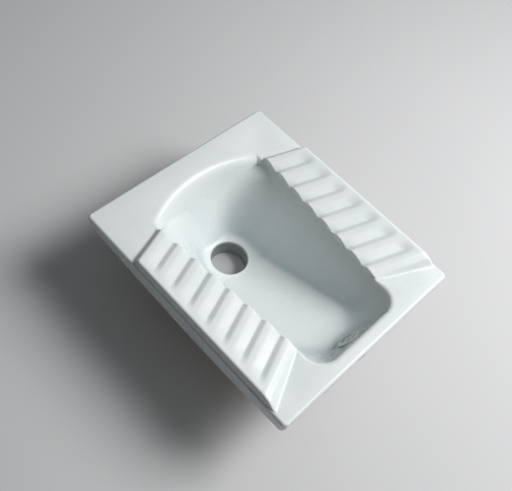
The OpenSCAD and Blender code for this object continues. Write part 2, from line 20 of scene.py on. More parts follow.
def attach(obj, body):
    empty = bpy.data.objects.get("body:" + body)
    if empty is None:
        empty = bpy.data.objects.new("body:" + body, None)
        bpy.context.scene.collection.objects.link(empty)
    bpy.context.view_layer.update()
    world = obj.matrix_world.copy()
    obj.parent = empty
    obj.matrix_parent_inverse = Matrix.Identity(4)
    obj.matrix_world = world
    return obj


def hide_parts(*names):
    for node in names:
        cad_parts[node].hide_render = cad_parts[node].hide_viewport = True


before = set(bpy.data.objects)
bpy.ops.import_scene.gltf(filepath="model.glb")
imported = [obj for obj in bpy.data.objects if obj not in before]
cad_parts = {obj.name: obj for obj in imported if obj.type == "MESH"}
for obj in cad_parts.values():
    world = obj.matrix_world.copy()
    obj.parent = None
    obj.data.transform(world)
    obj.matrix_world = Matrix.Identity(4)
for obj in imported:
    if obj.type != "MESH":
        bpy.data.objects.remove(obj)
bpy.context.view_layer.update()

log = logging.getLogger("squat_pan")

MM = 0.001
UP = Vector((0, 0, 1))
HEADWARDS = Vector((0, 1, 0))
NEARLY_STRAIGHT = 1.55  # half the angle at a corner, in radians
CORNER_ROOM = 0.49  # share of a side that one corner's rounding may take
Array = np.ndarray
Colour = tuple[float, float, float]
Piece = bpy.types.Object
Material = bpy.types.Material
Node = bpy.types.Node
Socket = bpy.types.NodeSocket


# ---------------------------------------------------------------------------
# Curves and blends
# ---------------------------------------------------------------------------


def smooth_min(a: Array, b: Array, blend: float) -> Array:
    """The lesser of two heights, rounded where they cross.

    Args:
        a: First height.
        b: Second height.
        blend: Difference of height over which the two are blended.

    Returns:
        The blended height.
    """
    share = np.clip(0.5 + 0.5 * (b - a) / blend, 0, 1)
    return b * (1 - share) + a * share - blend * share * (1 - share)


def smooth_max(a: Array, b: Array, blend: float) -> Array:
    """The greater of two heights, rounded where they cross.

    Args:
        a: First height.
        b: Second height.
        blend: Difference of height over which the two are blended.

    Returns:
        The blended height.
    """
    return -smooth_min(-a, -b, blend)


def smooth_step(low: float, high: float, value: Array) -> Array:
    """Eased share from 0 at low to 1 at high.

    Args:
        low: Value at which the share is 0.
        high: Value at which the share is 1.
        value: Values to grade.

    Returns:
        The shares.
    """
    share = np.clip((value - low) / (high - low), 0, 1)
    return share * share * (3 - 2 * share)


def graded(start: float, stop: float, count: int, density: Callable[[Array], Array]) -> Array:
    """Stations that lie closer together where a density is greater.

    Args:
        start: First station.
        stop: Last station.
        count: Number of stations.
        density: Relative density at given places.

    Returns:
        The stations, from start to stop.
    """
    fine = np.linspace(start, stop, 6001)
    total = np.concatenate([[0], np.cumsum(0.5 * (density(fine)[1:] + density(fine)[:-1]))])
    return np.interp(np.linspace(0, 1, count), total / total[-1], fine)


def eased_gaps(count: int, swell: float = 2.5) -> Array:
    """Shares from 0 to 1, closer together at both ends.

    Args:
        count: Number of gaps.
        swell: Growth of the middle gaps over the end ones.

    Returns:
        The count + 1 shares.
    """
    gaps = 1 + swell * np.sin(np.pi * (np.arange(count) + 0.5) / count) ** 2
    return np.concatenate([[0], np.cumsum(gaps)]) / gaps.sum()


def arc_lengths(path: Array) -> Array:
    """Length along a path of points, from its first.

    Args:
        path: Points, one in each row.

    Returns:
        The length at each point.
    """
    return np.concatenate([[0], np.cumsum(np.linalg.norm(np.diff(path, axis=0), axis=1))])


def at_lengths(path: Array, lengths: Array, places: Array) -> Array:
    """Points of a path at given places.

    Args:
        path: Points, one in each row.
        lengths: Measure at each point.
        places: Measures that are asked for.

    Returns:
        The points there.
    """
    return np.stack([np.interp(places, lengths, path[:, k]) for k in range(path.shape[1])], 1)


def soften(path: Array, radius: float, count: int = 320) -> Array:
    """Rounds every bend of a path and keeps its two ends.

    Args:
        path: Points, one in each row.
        radius: Spread of the rounding along the path.
        count: Number of points in the result.

    Returns:
        The rounded path, in even steps.
    """
    lengths = arc_lengths(path)
    even = at_lengths(path, lengths, np.linspace(0, lengths[-1], count))
    step = lengths[-1] / (count - 1)
    reach = max(1, min(count - 2, int(3 * radius / step)))
    kernel = np.exp(-0.5 * (np.arange(-reach, reach + 1) * step / radius) ** 2)
    kernel /= kernel.sum()
    before = 2 * even[0] - even[reach:0:-1]
    after = 2 * even[-1] - even[-2 : -reach - 2 : -1]
    padded = np.concatenate([before, even, after])
    out = [np.convolve(padded[:, k], kernel, "valid") for k in range(path.shape[1])]
    return np.stack(out, 1)


def restep(path: Array, count: int, bend: float) -> Array:
    """Spreads points along a path, closer together on its bends.

    Args:
        path: Points, one in each row.
        count: Number of points in the result.
        bend: Length that a turn of one radian counts for.

    Returns:
        The new points, with both ends kept.
    """
    steps = np.diff(path, axis=0)
    sizes = np.linalg.norm(steps, axis=1)
    heads = steps / np.maximum(sizes, 1e-9)[:, None]
    turns = np.arccos(np.clip((heads[1:] * heads[:-1]).sum(1), -1, 1))
    turns = np.concatenate([[0], turns, [0]])
    weight = sizes + 0.5 * bend * (turns[1:] + turns[:-1])
    measure = np.concatenate([[0], np.cumsum(weight)])
    return at_lengths(path, measure, np.linspace(0, measure[-1], count))


def restep_loop(outline: Array, count: int, bend: float) -> Array:
    """Spreads points round a closed outline, closer together on its bends.

    Args:
        outline: Points, one in each row.
        count: Number of points in the result, with the first one twice.
        bend: Length that a turn of one radian counts for.

    Returns:
        The new points, with the first one once.
    """
    return restep(np.vstack([outline, outline[:1]]), count, bend)[:-1]


# ---------------------------------------------------------------------------
# Node trees
# ---------------------------------------------------------------------------


class Sheet:
    """Lays and joins the nodes of one tree."""

    def __init__(self, tree: bpy.types.NodeTree) -> None:
        """Keeps the tree that is drawn on."""
        self.tree = tree

    def put(self, kind: str, **settings: object) -> Node:
        """Adds a node.

        Args:
            kind: Type name of the node.
            settings: Values of the node's own settings.

        Returns:
            The node.
        """
        node = self.tree.nodes.new(kind)
        for name, value in settings.items():
            setattr(node, name, value)
        return node

    def join(self, source: object, socket: Socket) -> None:
        """Feeds a socket from another socket, or sets it to a constant.

        Args:
            source: An output socket, or a number, colour or vector.
            socket: The input that takes it.
        """
        if isinstance(source, Socket):
            self.tree.links.new(source, socket)
        else:
            socket.default_value = source

    def math(self, operation: str, *values: object) -> Socket:
        """Adds a Math node.

        Args:
            operation: Name of the operation.
            values: Its inputs, sockets or numbers.

        Returns:
            The result's socket.
        """
        node = self.put("ShaderNodeMath", operation=operation)
        for value, socket in zip(values, node.inputs):
            self.join(value, socket)
        return node.outputs[0]

    def blend(self, share: object, low: object, high: object) -> Socket:
        """Adds a mix of two colours.

        Args:
            share: Share of the second colour.
            low: First colour or socket.
            high: Second colour or socket.

        Returns:
            The mixed colour's socket.
        """
        node = self.put("ShaderNodeMix", data_type="RGBA")
        self.join(share, node.inputs["Factor"])
        for colour, number in ((low, 6), (high, 7)):
            whole = (*colour, 1) if isinstance(colour, tuple) else colour
            self.join(whole, node.inputs[number])
        return node.outputs[2]

    def grade(self, value: object, low: float, high: float, a: float, b: float) -> Socket:
        """Adds a clamped change of range.

        Args:
            value: Socket that is read.
            low: Value that gives a.
            high: Value that gives b.
            a: Result at low.
            b: Result at high.

        Returns:
            The result's socket.
        """
        node = self.put("ShaderNodeMapRange", interpolation_type="SMOOTHSTEP")
        for number, socket in zip((value, low, high, a, b), node.inputs):
            self.join(number, socket)
        return node.outputs[0]

    def attribute(self, name: str) -> Socket:
        """Reads a number that each point of the piece carries."""
        return self.put("ShaderNodeAttribute", attribute_name=name).outputs["Fac"]

    def vector(self, **parts: object) -> Socket:
        """Adds a vector.

        Args:
            parts: Its parts X, Y and Z, sockets or numbers.

        Returns:
            The vector's socket.
        """
        node = self.put("ShaderNodeCombineXYZ")
        for axis, value in parts.items():
            self.join(value, node.inputs[axis])
        return node.outputs[0]

    def noise(self, scale: float, detail: float = 3.0, roughness: float = 0.5) -> Socket:
        """Adds noise that is fixed to the piece.

        Args:
            scale: Waves in each metre.
            detail: Number of finer octaves.
            roughness: Strength of the finer octaves.

        Returns:
            The noise's value socket.
        """
        place = self.put("ShaderNodeTexCoord")
        noise = self.put("ShaderNodeTexNoise")
        self.join(place.outputs["Object"], noise.inputs["Vector"])
        for name, value in (("Scale", scale), ("Detail", detail), ("Roughness", roughness)):
            noise.inputs[name].default_value = value
        return noise.outputs["Fac"]

    def bump(self, shader: Node, height: Socket, distance: float) -> None:
        """Feeds a shader's normal from a height.

        Args:
            shader: The shader whose normal it feeds.
            height: Socket of the height.
            distance: Height in metres of a value of 1.
        """
        bump = self.put("ShaderNodeBump")
        bump.inputs["Distance"].default_value = distance
        bump.inputs["Strength"].default_value = 1.0
        self.join(height, bump.inputs["Height"])
        self.join(bump.outputs[0], shader.inputs["Normal"])


class ShapeTree(Sheet):
    """A Geometry Nodes tree with named inputs, which ends in plain faces."""

    def __init__(self, name: str, finish: Material) -> None:
        """Starts an empty tree.

        Args:
            name: Name of the tree.
            finish: Material that its faces get.
        """
        super().__init__(bpy.data.node_groups.new(name, "GeometryNodeTree"))
        face = self.tree.interface
        face.new_socket("Geometry", in_out="INPUT", socket_type="NodeSocketGeometry")
        face.new_socket("Geometry", in_out="OUTPUT", socket_type="NodeSocketGeometry")
        self.start = self.put("NodeGroupInput")
        self.end = self.put("NodeGroupOutput")
        self.finish = finish
        self.values: dict[str, object] = {}

    def size(self, name: str, value: float, kind: str = "NodeSocketFloat") -> Socket:
        """Adds a named input.

        Args:
            name: Name of the input.
            value: Its value on the piece.
            kind: Type name of its socket.

        Returns:
            The socket inside the tree.
        """
        item = self.tree.interface.new_socket(name, in_out="INPUT", socket_type=kind)
        self.values[item.identifier] = value
        return self.start.outputs[name]

    def close(self, geometry: Socket) -> None:
        """Makes real faces of the result and gives them their material.

        Args:
            geometry: The tree's last geometry socket.
        """
        real = self.put("GeometryNodeRealizeInstances")
        paint = self.put("GeometryNodeSetMaterial")
        paint.inputs["Material"].default_value = self.finish
        self.join(geometry, real.inputs[0])
        self.join(real.outputs[0], paint.inputs["Geometry"])
        self.join(paint.outputs[0], self.end.inputs[0])

    def stamp(self, points: Socket, pattern: Piece, turn: Socket | None = None) -> Socket:
        """Sets a copy of a shape on every point.

        Args:
            points: Geometry socket of the points.
            pattern: The object that is copied.
            turn: Rotation of each copy, or None to leave them as they are.

        Returns:
            Geometry socket of the copies.
        """
        shape = self.put("GeometryNodeObjectInfo")
        shape.inputs["Object"].default_value = pattern
        copies = self.put("GeometryNodeInstanceOnPoints")
        self.join(points, copies.inputs["Points"])
        self.join(shape.outputs["Geometry"], copies.inputs["Instance"])
        if turn is not None:
            self.join(turn, copies.inputs["Rotation"])
        return copies.outputs[0]

    def shape(self, piece: Piece) -> None:
        """Runs the tree on a piece and leaves it a plain mesh.

        Args:
            piece: The object whose mesh the tree changes.
        """
        modifier = piece.modifiers.new(self.tree.name, "NODES")
        modifier.node_group = self.tree
        for identifier, value in self.values.items():
            modifier[identifier] = value
        settle(piece)


def settle(piece: Piece) -> None:
    """Turns a piece's live modifiers into its plain mesh.

    Args:
        piece: The object with modifiers.
    """
    bpy.context.view_layer.update()
    graph = bpy.context.evaluated_depsgraph_get()
    shown = piece.evaluated_get(graph)
    mesh = bpy.data.meshes.new_from_object(shown, preserve_all_data_layers=True, depsgraph=graph)
    piece.modifiers.clear()
    old = piece.data
    piece.data = mesh
    bpy.data.meshes.remove(old)
    mesh.name = piece.name


# ---------------------------------------------------------------------------
# Finishes
# ---------------------------------------------------------------------------


class Slot(Enum):
    """The record's material slots."""

    GLAZE = "glazed_china"
    BISQUE = "bisque"
    PLASTIC = "moulded_plastic"
    RUBBER = "black_rubber"


def new_material(name: str) -> tuple[Material, Sheet, Node]:
    """Starts a node material.

    Args:
        name: Name of the material.

    Returns:
        The material, its sheet and its main shader.
    """
    material = bpy.data.materials.new(name)
    material.use_nodes = True
    sheet = Sheet(material.node_tree)
    return material, sheet, material.node_tree.nodes["Principled BSDF"]


@dataclass(frozen=True)
class GlazedChina:
    """White glaze with a faint ripple, lighter where it thins on edges, with painted shade and
    light: darker in hollows and down the bowl's walls (partly pooled glaze), lighter just below the
    rim, and near black in the outlet's bore.
    """

    body: Colour = (0.72, 0.755, 0.755)
    # Painted shade: darker tint of hollows and the lower bowl walls, partly pooled glaze.
    pool_shade_tint: Colour = (0.50, 0.575, 0.585)
    # Lighter tint of thin glaze on edges, also painted light just below the bowl's rim.
    thin_glaze_and_light: Colour = (0.80, 0.81, 0.795)
    # Painted shade: near-black colour of the outlet's bore.
    bore_shade: Colour = (0.27, 0.28, 0.285)
    bare: Colour = (0.70, 0.66, 0.58)
    worn: Colour = (0.58, 0.53, 0.45)
    speck: Colour = (0.42, 0.40, 0.36)
    gloss: float = 0.28
    bare_roughness: float = 0.72
    index: float = 1.52
    shine: float = 0.27
    cloud_waves: float = 9.0
    cloudiness: float = 0.16
    speck_cells: float = 55.0
    ripple_waves: float = 62.0
    peel_waves: float = 520.0
    peel: float = 0.06
    ripple: float = 0.22 * MM

    def make(self) -> Material:
        """Builds the material.

        Returns:
            The glaze.
        """
        material, sheet, shader = new_material(Slot.GLAZE.value)
        pool, unglazed, bore = (sheet.attribute(name) for name in ("pool", "bare", "bore"))
        # Painted shade and light: darker in hollows and down the bowl's walls, lighter on edges and
        # just below the rim.
        pool_shade_share = sheet.grade(pool, 0.52, 0.80, 0.0, 1.0)
        thin_and_light_share = sheet.grade(pool, 0.46, 0.12, 0.0, 1.0)
        colour = sheet.blend(pool_shade_share, self.body, self.pool_shade_tint)
        colour = sheet.blend(thin_and_light_share, colour, self.thin_glaze_and_light)
        # Painted shade: the outlet's bore is painted near black.
        colour = sheet.blend(bore, colour, self.bore_shade)
        cloud = sheet.grade(sheet.noise(self.cloud_waves, 4.0), 0.3, 0.7, 0.0, self.cloudiness)
        colour = sheet.blend(cloud, colour, self.pool_shade_tint)
        place = sheet.put("ShaderNodeTexCoord")
        cells = sheet.put("ShaderNodeTexVoronoi")
        cells.inputs["Scale"].default_value = self.speck_cells
        sheet.join(place.outputs["Object"], cells.inputs["Vector"])
        rare = sheet.grade(sheet.noise(23.0, 1.0), 0.62, 0.66, 0.0, 0.55)
        dots = sheet.grade(cells.outputs["Distance"], 0.025, 0.012, 0.0, 1.0)
        colour = sheet.blend(sheet.math("MULTIPLY", dots, rare), colour, self.speck)
        grain = sheet.grade(sheet.noise(420.0, 4.0, 0.65), 0.35, 0.7, 0.0, 0.35)
        clay = sheet.blend(grain, self.bare, self.worn)
        colour = sheet.blend(unglazed, colour, clay)
        sheet.join(colour, shader.inputs["Base Color"])
        cleanest, dullest = self.gloss * 0.9, self.gloss * 1.4
        wear = sheet.grade(sheet.noise(34.0, 5.0, 0.6), 0.35, 0.75, cleanest, dullest)
        dry = sheet.math("MULTIPLY", unglazed, self.bare_roughness)
        sheet.join(sheet.math("MAXIMUM", wear, dry), shader.inputs["Roughness"])
        shader.inputs["IOR"].default_value = self.index
        shader.inputs["Specular IOR Level"].default_value = self.shine
        ripple = sheet.noise(self.ripple_waves, 2.0, 0.4)
        peel = sheet.math("MULTIPLY", sheet.noise(self.peel_waves, 2.0), self.peel)
        sheet.bump(shader, sheet.math("ADD", ripple, peel), self.ripple)
        return material


@dataclass(frozen=True)
class BisqueChina:
    """Unglazed fired china with the grain and faint scratches of the sponge, and a glazed bore
    painted near black as shade.
    """

    body: Colour = (0.74, 0.71, 0.64)
    shade: Colour = (0.62, 0.58, 0.50)
    stain: Colour = (0.50, 0.45, 0.37)
    # Painted shade: near-black colour of the glazed bore.
    glaze: Colour = (0.27, 0.28, 0.28)
    scratches: tuple[float, float, float] = (60.0, 60.0, 700.0)
    grain: float = 0.12 * MM

    def make(self) -> Material:
        """Builds the material.

        Returns:
            The bisque.
        """
        material, sheet, shader = new_material(Slot.BISQUE.value)
        grain = sheet.grade(sheet.noise(480.0, 5.0, 0.65), 0.35, 0.72, 0.0, 1.0)
        cloud = sheet.grade(sheet.noise(26.0, 4.0, 0.6), 0.4, 0.8, 0.0, 0.6)
        colour = sheet.blend(grain, self.body, self.shade)
        colour = sheet.blend(cloud, colour, self.body)
        spots = sheet.grade(sheet.noise(900.0, 1.0), 0.70, 0.78, 0.0, 0.6)
        colour = sheet.blend(spots, colour, self.stain)
        # Painted shade: the glazed bore is painted near black; its glaze also makes it less rough.
        glazed = sheet.attribute("glazed")
        colour = sheet.blend(glazed, colour, self.glaze)
        sheet.join(colour, shader.inputs["Base Color"])
        dull = sheet.grade(grain, 0.0, 1.0, 0.62, 0.82)
        clear = sheet.math("SUBTRACT", 1.0, sheet.math("MULTIPLY", glazed, 0.85))
        sheet.join(sheet.math("MULTIPLY", dull, clear), shader.inputs["Roughness"])
        rub = sheet.put("ShaderNodeTexCoord")
        turn = sheet.put("ShaderNodeMapping")
        turn.inputs["Scale"].default_value = self.scratches
        streak = sheet.put("ShaderNodeTexNoise")
        streak.inputs["Scale"].default_value = 1.0
        sheet.join(rub.outputs["Object"], turn.inputs["Vector"])
        sheet.join(turn.outputs[0], streak.inputs["Vector"])
        height = sheet.math("ADD", grain, sheet.math("MULTIPLY", streak.outputs["Fac"], 0.8))
        sheet.bump(shader, height, self.grain)
        return material


@dataclass(frozen=True)
class MouldedPlastic:
    """White moulded plastic, a little aged, with a fine satin grain."""

    body: Colour = (0.67, 0.705, 0.70)
    aged: Colour = (0.60, 0.615, 0.58)
    grain: float = 0.02 * MM

    def make(self) -> Material:
        """Builds the material.

        Returns:
            The plastic.
        """
        material, sheet, shader = new_material(Slot.PLASTIC.value)
        cloud = sheet.grade(sheet.noise(60.0, 3.0), 0.4, 0.8, 0.0, 0.6)
        sheet.join(sheet.blend(cloud, self.body, self.aged), shader.inputs["Base Color"])
        fine = sheet.noise(2400.0, 2.0)
        sheet.join(sheet.grade(fine, 0.3, 0.7, 0.26, 0.36), shader.inputs["Roughness"])
        sheet.bump(shader, fine, self.grain)
        return material


@dataclass(frozen=True)
class MouldedRubber:
    """Black rubber with a dull bloom and moulding grain."""

    body: Colour = (0.022, 0.022, 0.024)
    bloom: Colour = (0.075, 0.075, 0.078)
    grain: float = 0.04 * MM

    def make(self) -> Material:
        """Builds the material.

        Returns:
            The rubber.
        """
        material, sheet, shader = new_material(Slot.RUBBER.value)
        dust = sheet.grade(sheet.noise(90.0, 5.0, 0.65), 0.4, 0.8, 0.0, 1.0)
        sheet.join(sheet.blend(dust, self.body, self.bloom), shader.inputs["Base Color"])
        sheet.join(sheet.grade(dust, 0.0, 1.0, 0.42, 0.62), shader.inputs["Roughness"])
        sheet.bump(shader, sheet.noise(1500.0), self.grain)
        return material


@dataclass(frozen=True)
class StudioPaper:
    """Plain pale floor."""

    body: Colour = (0.60, 0.60, 0.605)
    mottle: float = 0.93

    def make(self) -> Material:
        """Builds the material.

        Returns:
            The floor's finish.
        """
        material, sheet, shader = new_material("studio_paper")
        cloud = sheet.grade(sheet.noise(1.3, 2.0), 0.3, 0.7, 0.0, 0.25)
        darker = tuple(self.mottle * c for c in self.body)
        sheet.join(sheet.blend(cloud, self.body, darker), shader.inputs["Base Color"])
        shader.inputs["Roughness"].default_value = 0.85
        shader.inputs["Specular IOR Level"].default_value = 0.2
        return material


# ---------------------------------------------------------------------------
# Meshes
# ---------------------------------------------------------------------------


def add_object(name: str, data: bpy.types.ID) -> Piece:
    """Puts a new object with some data in the scene.

    Args:
        name: Name of the object.
        data: Its mesh, camera or lamp.

    Returns:
        The object.
    """
    made = bpy.data.objects.new(name, data)
    bpy.context.scene.collection.objects.link(made)
    return made


def add_tool(name: str, draft: bmesh.types.BMesh) -> Piece:
    """Makes an object that cuts another, and frees its draft.

    Args:
        name: Name of the object.
        draft: Its mesh in work.

    Returns:
        The object.
    """
    mesh = bpy.data.meshes.new(name)
    draft.to_mesh(mesh)
    draft.free()
    return add_object(name, mesh)


def mesh_piece(name: str, points: Array, faces: Sequence[Sequence[int]], finish: Material) -> Piece:
    """Makes a smooth piece of points and faces, closed and facing outwards.

    Args:
        name: Name of the piece.
        points: Points, one in each row.
        faces: Corner numbers of each face.
        finish: Its material.

    Returns:
        The piece.
    """
    mesh = bpy.data.meshes.new(name)
    mesh.from_pydata(np.asarray(points).tolist(), [], [tuple(map(int, f)) for f in faces])
    shape = bmesh.new()
    shape.from_mesh(mesh)
    bmesh.ops.recalc_face_normals(shape, faces=shape.faces)
    shape.to_mesh(mesh)
    shape.free()
    mesh.shade_smooth()
    mesh.materials.append(finish)
    return add_object(name, mesh)


def ring_faces(rings: int, sides: int, closed: bool) -> list[tuple[int, int, int, int]]:
    """Faces between neighbouring rings of points.

    Args:
        rings: Number of rings.
        sides: Number of points in each ring.
        closed: Whether the last ring joins the first.

    Returns:
        The four corners of each face.
    """
    out = []
    for ring in range(rings if closed else rings - 1):
        here, there = ring * sides, (ring + 1) % rings * sides
        for side in range(sides):
            beside = (side + 1) % sides
            out.append((here + side, here + beside, there + beside, there + side))
    return out


def set_shares(piece: Piece, name: str, values: Array) -> None:
    """Gives every point of a piece a number.

    Args:
        piece: The piece.
        name: Name of the attribute.
        values: One number for each point.
    """
    mesh = piece.data
    layer = mesh.attributes.get(name) or mesh.attributes.new(name, "FLOAT", "POINT")
    layer.data.foreach_set("value", np.asarray(values, np.float32))


def turned_piece(
    name: str, outline: Array, centre: Vector, axis: Vector, finish: Material, sides: int = 128
) -> Piece:
    """Turns a closed outline round an axis.

    Args:
        name: Name of the piece.
        outline: Radius and place along the axis of each point, one in each row.
        centre: Point on the axis where the place is 0.
        axis: Direction of the axis.
        finish: Its material.
        sides: Number of steps round.

    Returns:
        The piece.
    """
    along = axis.normalized()
    across = along.orthogonal().normalized()
    third = along.cross(across)
    angles = np.linspace(0, 2 * np.pi, sides, endpoint=False)
    spin = np.outer(np.cos(angles), across) + np.outer(np.sin(angles), third)
    radius, place = outline[:, 0], outline[:, 1]
    rings = radius[:, None, None] * spin[None]
    points = rings + place[:, None, None] * np.array(along) + np.array(centre)
    faces = ring_faces(len(outline), sides, True)
    return mesh_piece(name, points.reshape(-1, 3), faces, finish)


def rounded_outline(corners: Sequence[tuple[float, float, float]], steps: int = 5) -> Array:
    """Closed outline with its corners rounded.

    Args:
        corners: Two coordinates and a radius for each corner.
        steps: Steps round each corner.

    Returns:
        The outline's points.
    """
    out = []
    count = len(corners)
    for k in range(count):
        before, here, after = (np.array(corners[(k + d) % count][:2]) for d in (-1, 0, 1))
        radius = corners[k][2]
        back, ahead = np.linalg.norm(before - here), np.linalg.norm(after - here)
        u, w = (before - here) / back, (after - here) / ahead
        half = math.acos(max(-1.0, min(1.0, float(u @ w)))) / 2
        if radius <= 0 or half > NEARLY_STRAIGHT:
            out.append(here)
            continue
        reach = min(radius / math.tan(half), CORNER_ROOM * back, CORNER_ROOM * ahead)
        start, stop = here + u * reach, here + w * reach
        for t in np.linspace(0, 1, steps + 1):
            out.append((1 - t) ** 2 * start + 2 * t * (1 - t) * here + t * t * stop)
    return np.array(out)


# ---------------------------------------------------------------------------
# Glazed pan
# ---------------------------------------------------------------------------


@dataclass
class Deck:
    """Rectangular deck with a rolled edge, a dish towards the bowl and a skirt."""

    width: float = 450 * MM
    length: float = 530 * MM
    height: float = 205 * MM
    corner_r: float = 10 * MM
    edge_r: float = 6 * MM
    border: float = 24 * MM
    fall: float = 0.10
    wall: float = 12 * MM
    skirt_middle: float = 46 * MM
    skirt_head: float = 23 * MM
    skirt_foot: float = 34 * MM
    skirt_lean: float = math.radians(3)
    hip_blend: float = 34 * MM
    border_blend: float = 12 * MM
    notch_r: float = 30 * MM
    notch_height: float = 155 * MM

    @property
    def half_w(self) -> float:
        """Half of the width."""
        return self.width / 2

    @property
    def half_l(self) -> float:
        """Half of the length."""
        return self.length / 2

    def from_edge(self, x: Array, y: Array) -> Array:
        """Distance inwards from the deck's upright edge.

        Args:
            x: Places across the pan.
            y: Places along the pan.

        Returns:
            The distances.
        """
        qx = np.abs(x) - (self.half_w - self.corner_r)
        qy = np.abs(y) - (self.half_l - self.corner_r)
        outside = np.hypot(np.maximum(qx, 0), np.maximum(qy, 0))
        return self.corner_r - outside - np.minimum(np.maximum(qx, qy), 0)

    def dish(self, x: Array, y: Array) -> Array:
        """Height of the deck's face without its rolled edge.

        Args:
            x: Places across the pan.
            y: Places along the pan.

        Returns:
            The heights.
        """
        across = self.half_w - self.border - np.abs(x)
        along = self.half_l - self.border - np.abs(y)
        run = smooth_min(across, along, self.hip_blend)
        run = smooth_max(run, np.zeros_like(run), self.border_blend)
        return self.height - self.fall * run

    def face(self, x: Array, y: Array) -> Array:
        """Height of the deck's face with its rolled edge.

        Args:
            x: Places across the pan.
            y: Places along the pan.

        Returns:
            The heights.
        """
        short = self.edge_r - np.clip(self.from_edge(x, y), 0, self.edge_r)
        return self.dish(x, y) - self.edge_r + np.sqrt(self.edge_r**2 - short**2)

    def skirt_depth(self, y: Array) -> Array:
        """Depth of the skirt, a parabola that is deepest near the middle.

        Args:
            y: Places along the pan.

        Returns:
            The depths.
        """
        head_drop = self.skirt_middle - self.skirt_head
        foot_drop = self.skirt_middle - self.skirt_foot
        share = math.sqrt(foot_drop) / (math.sqrt(head_drop) + math.sqrt(foot_drop))
        deep_y = -self.half_l + self.length * share
        return self.skirt_middle - head_drop * ((y - deep_y) / (self.half_l - deep_y)) ** 2

    def skirt_foot_z(self, points: Array) -> Array:
        """Height of the skirt's lower edge, with the notch round the inlet.

        Args:
            points: Plan points on the deck's edge, one in each row.

        Returns:
            The heights.
        """
        x, y = points[:, 0], points[:, 1]
        low = self.height - self.skirt_depth(y)
        arch = self.notch_height + np.sqrt(np.maximum(self.notch_r**2 - x * x, 0))
        notched = (np.abs(x) < self.notch_r) & (y < 0)
        return np.where(notched, np.maximum(low, arch), low)

    def edge_stations(self) -> Array:
        """Lengths along half the edge at its four corner ends and its end."""
        corner = self.corner_r * math.pi / 2
        half = self.half_w - self.corner_r
        side = self.length - 2 * self.corner_r
        return np.cumsum([0, half, corner, side, corner, half])

    def edge(
        self, lengths: Array, inset: Array | float = 0.0, radius: float | None = None
    ) -> tuple[Array, Array]:
        """Points on half the edge, from the middle of the foot to that of the head.

        Args:
            lengths: Lengths along the outermost edge.
            inset: Distance inwards from it.
            radius: Plan radius of the corners, or None for the deck's own.

        Returns:
            The points and the inward directions, one in each row.
        """
        radius = self.corner_r if radius is None else radius
        ends = self.edge_stations()
        part = np.clip(np.searchsorted(ends, lengths, "right") - 1, 0, 4)
        share = (lengths - ends[part]) / np.diff(ends)[part]
        wide = self.half_w - inset - radius
        long = self.half_l - inset - radius
        turn = np.where(part == 0, -90, np.where(part == 1, -90 + 90 * share, 0))
        turn = np.radians(np.where(part == 3, 90 * share, np.where(part == 4, 90, turn)))
        x = np.where(part == 0, share, np.where(part == 4, 1 - share, 1)) * wide
        y = np.where(part < 2, -1, np.where(part == 2, 2 * share - 1, 1)) * long
        away = np.stack([np.cos(turn), np.sin(turn)], 1)
        return np.stack([x, y], 1) + radius * away, -away


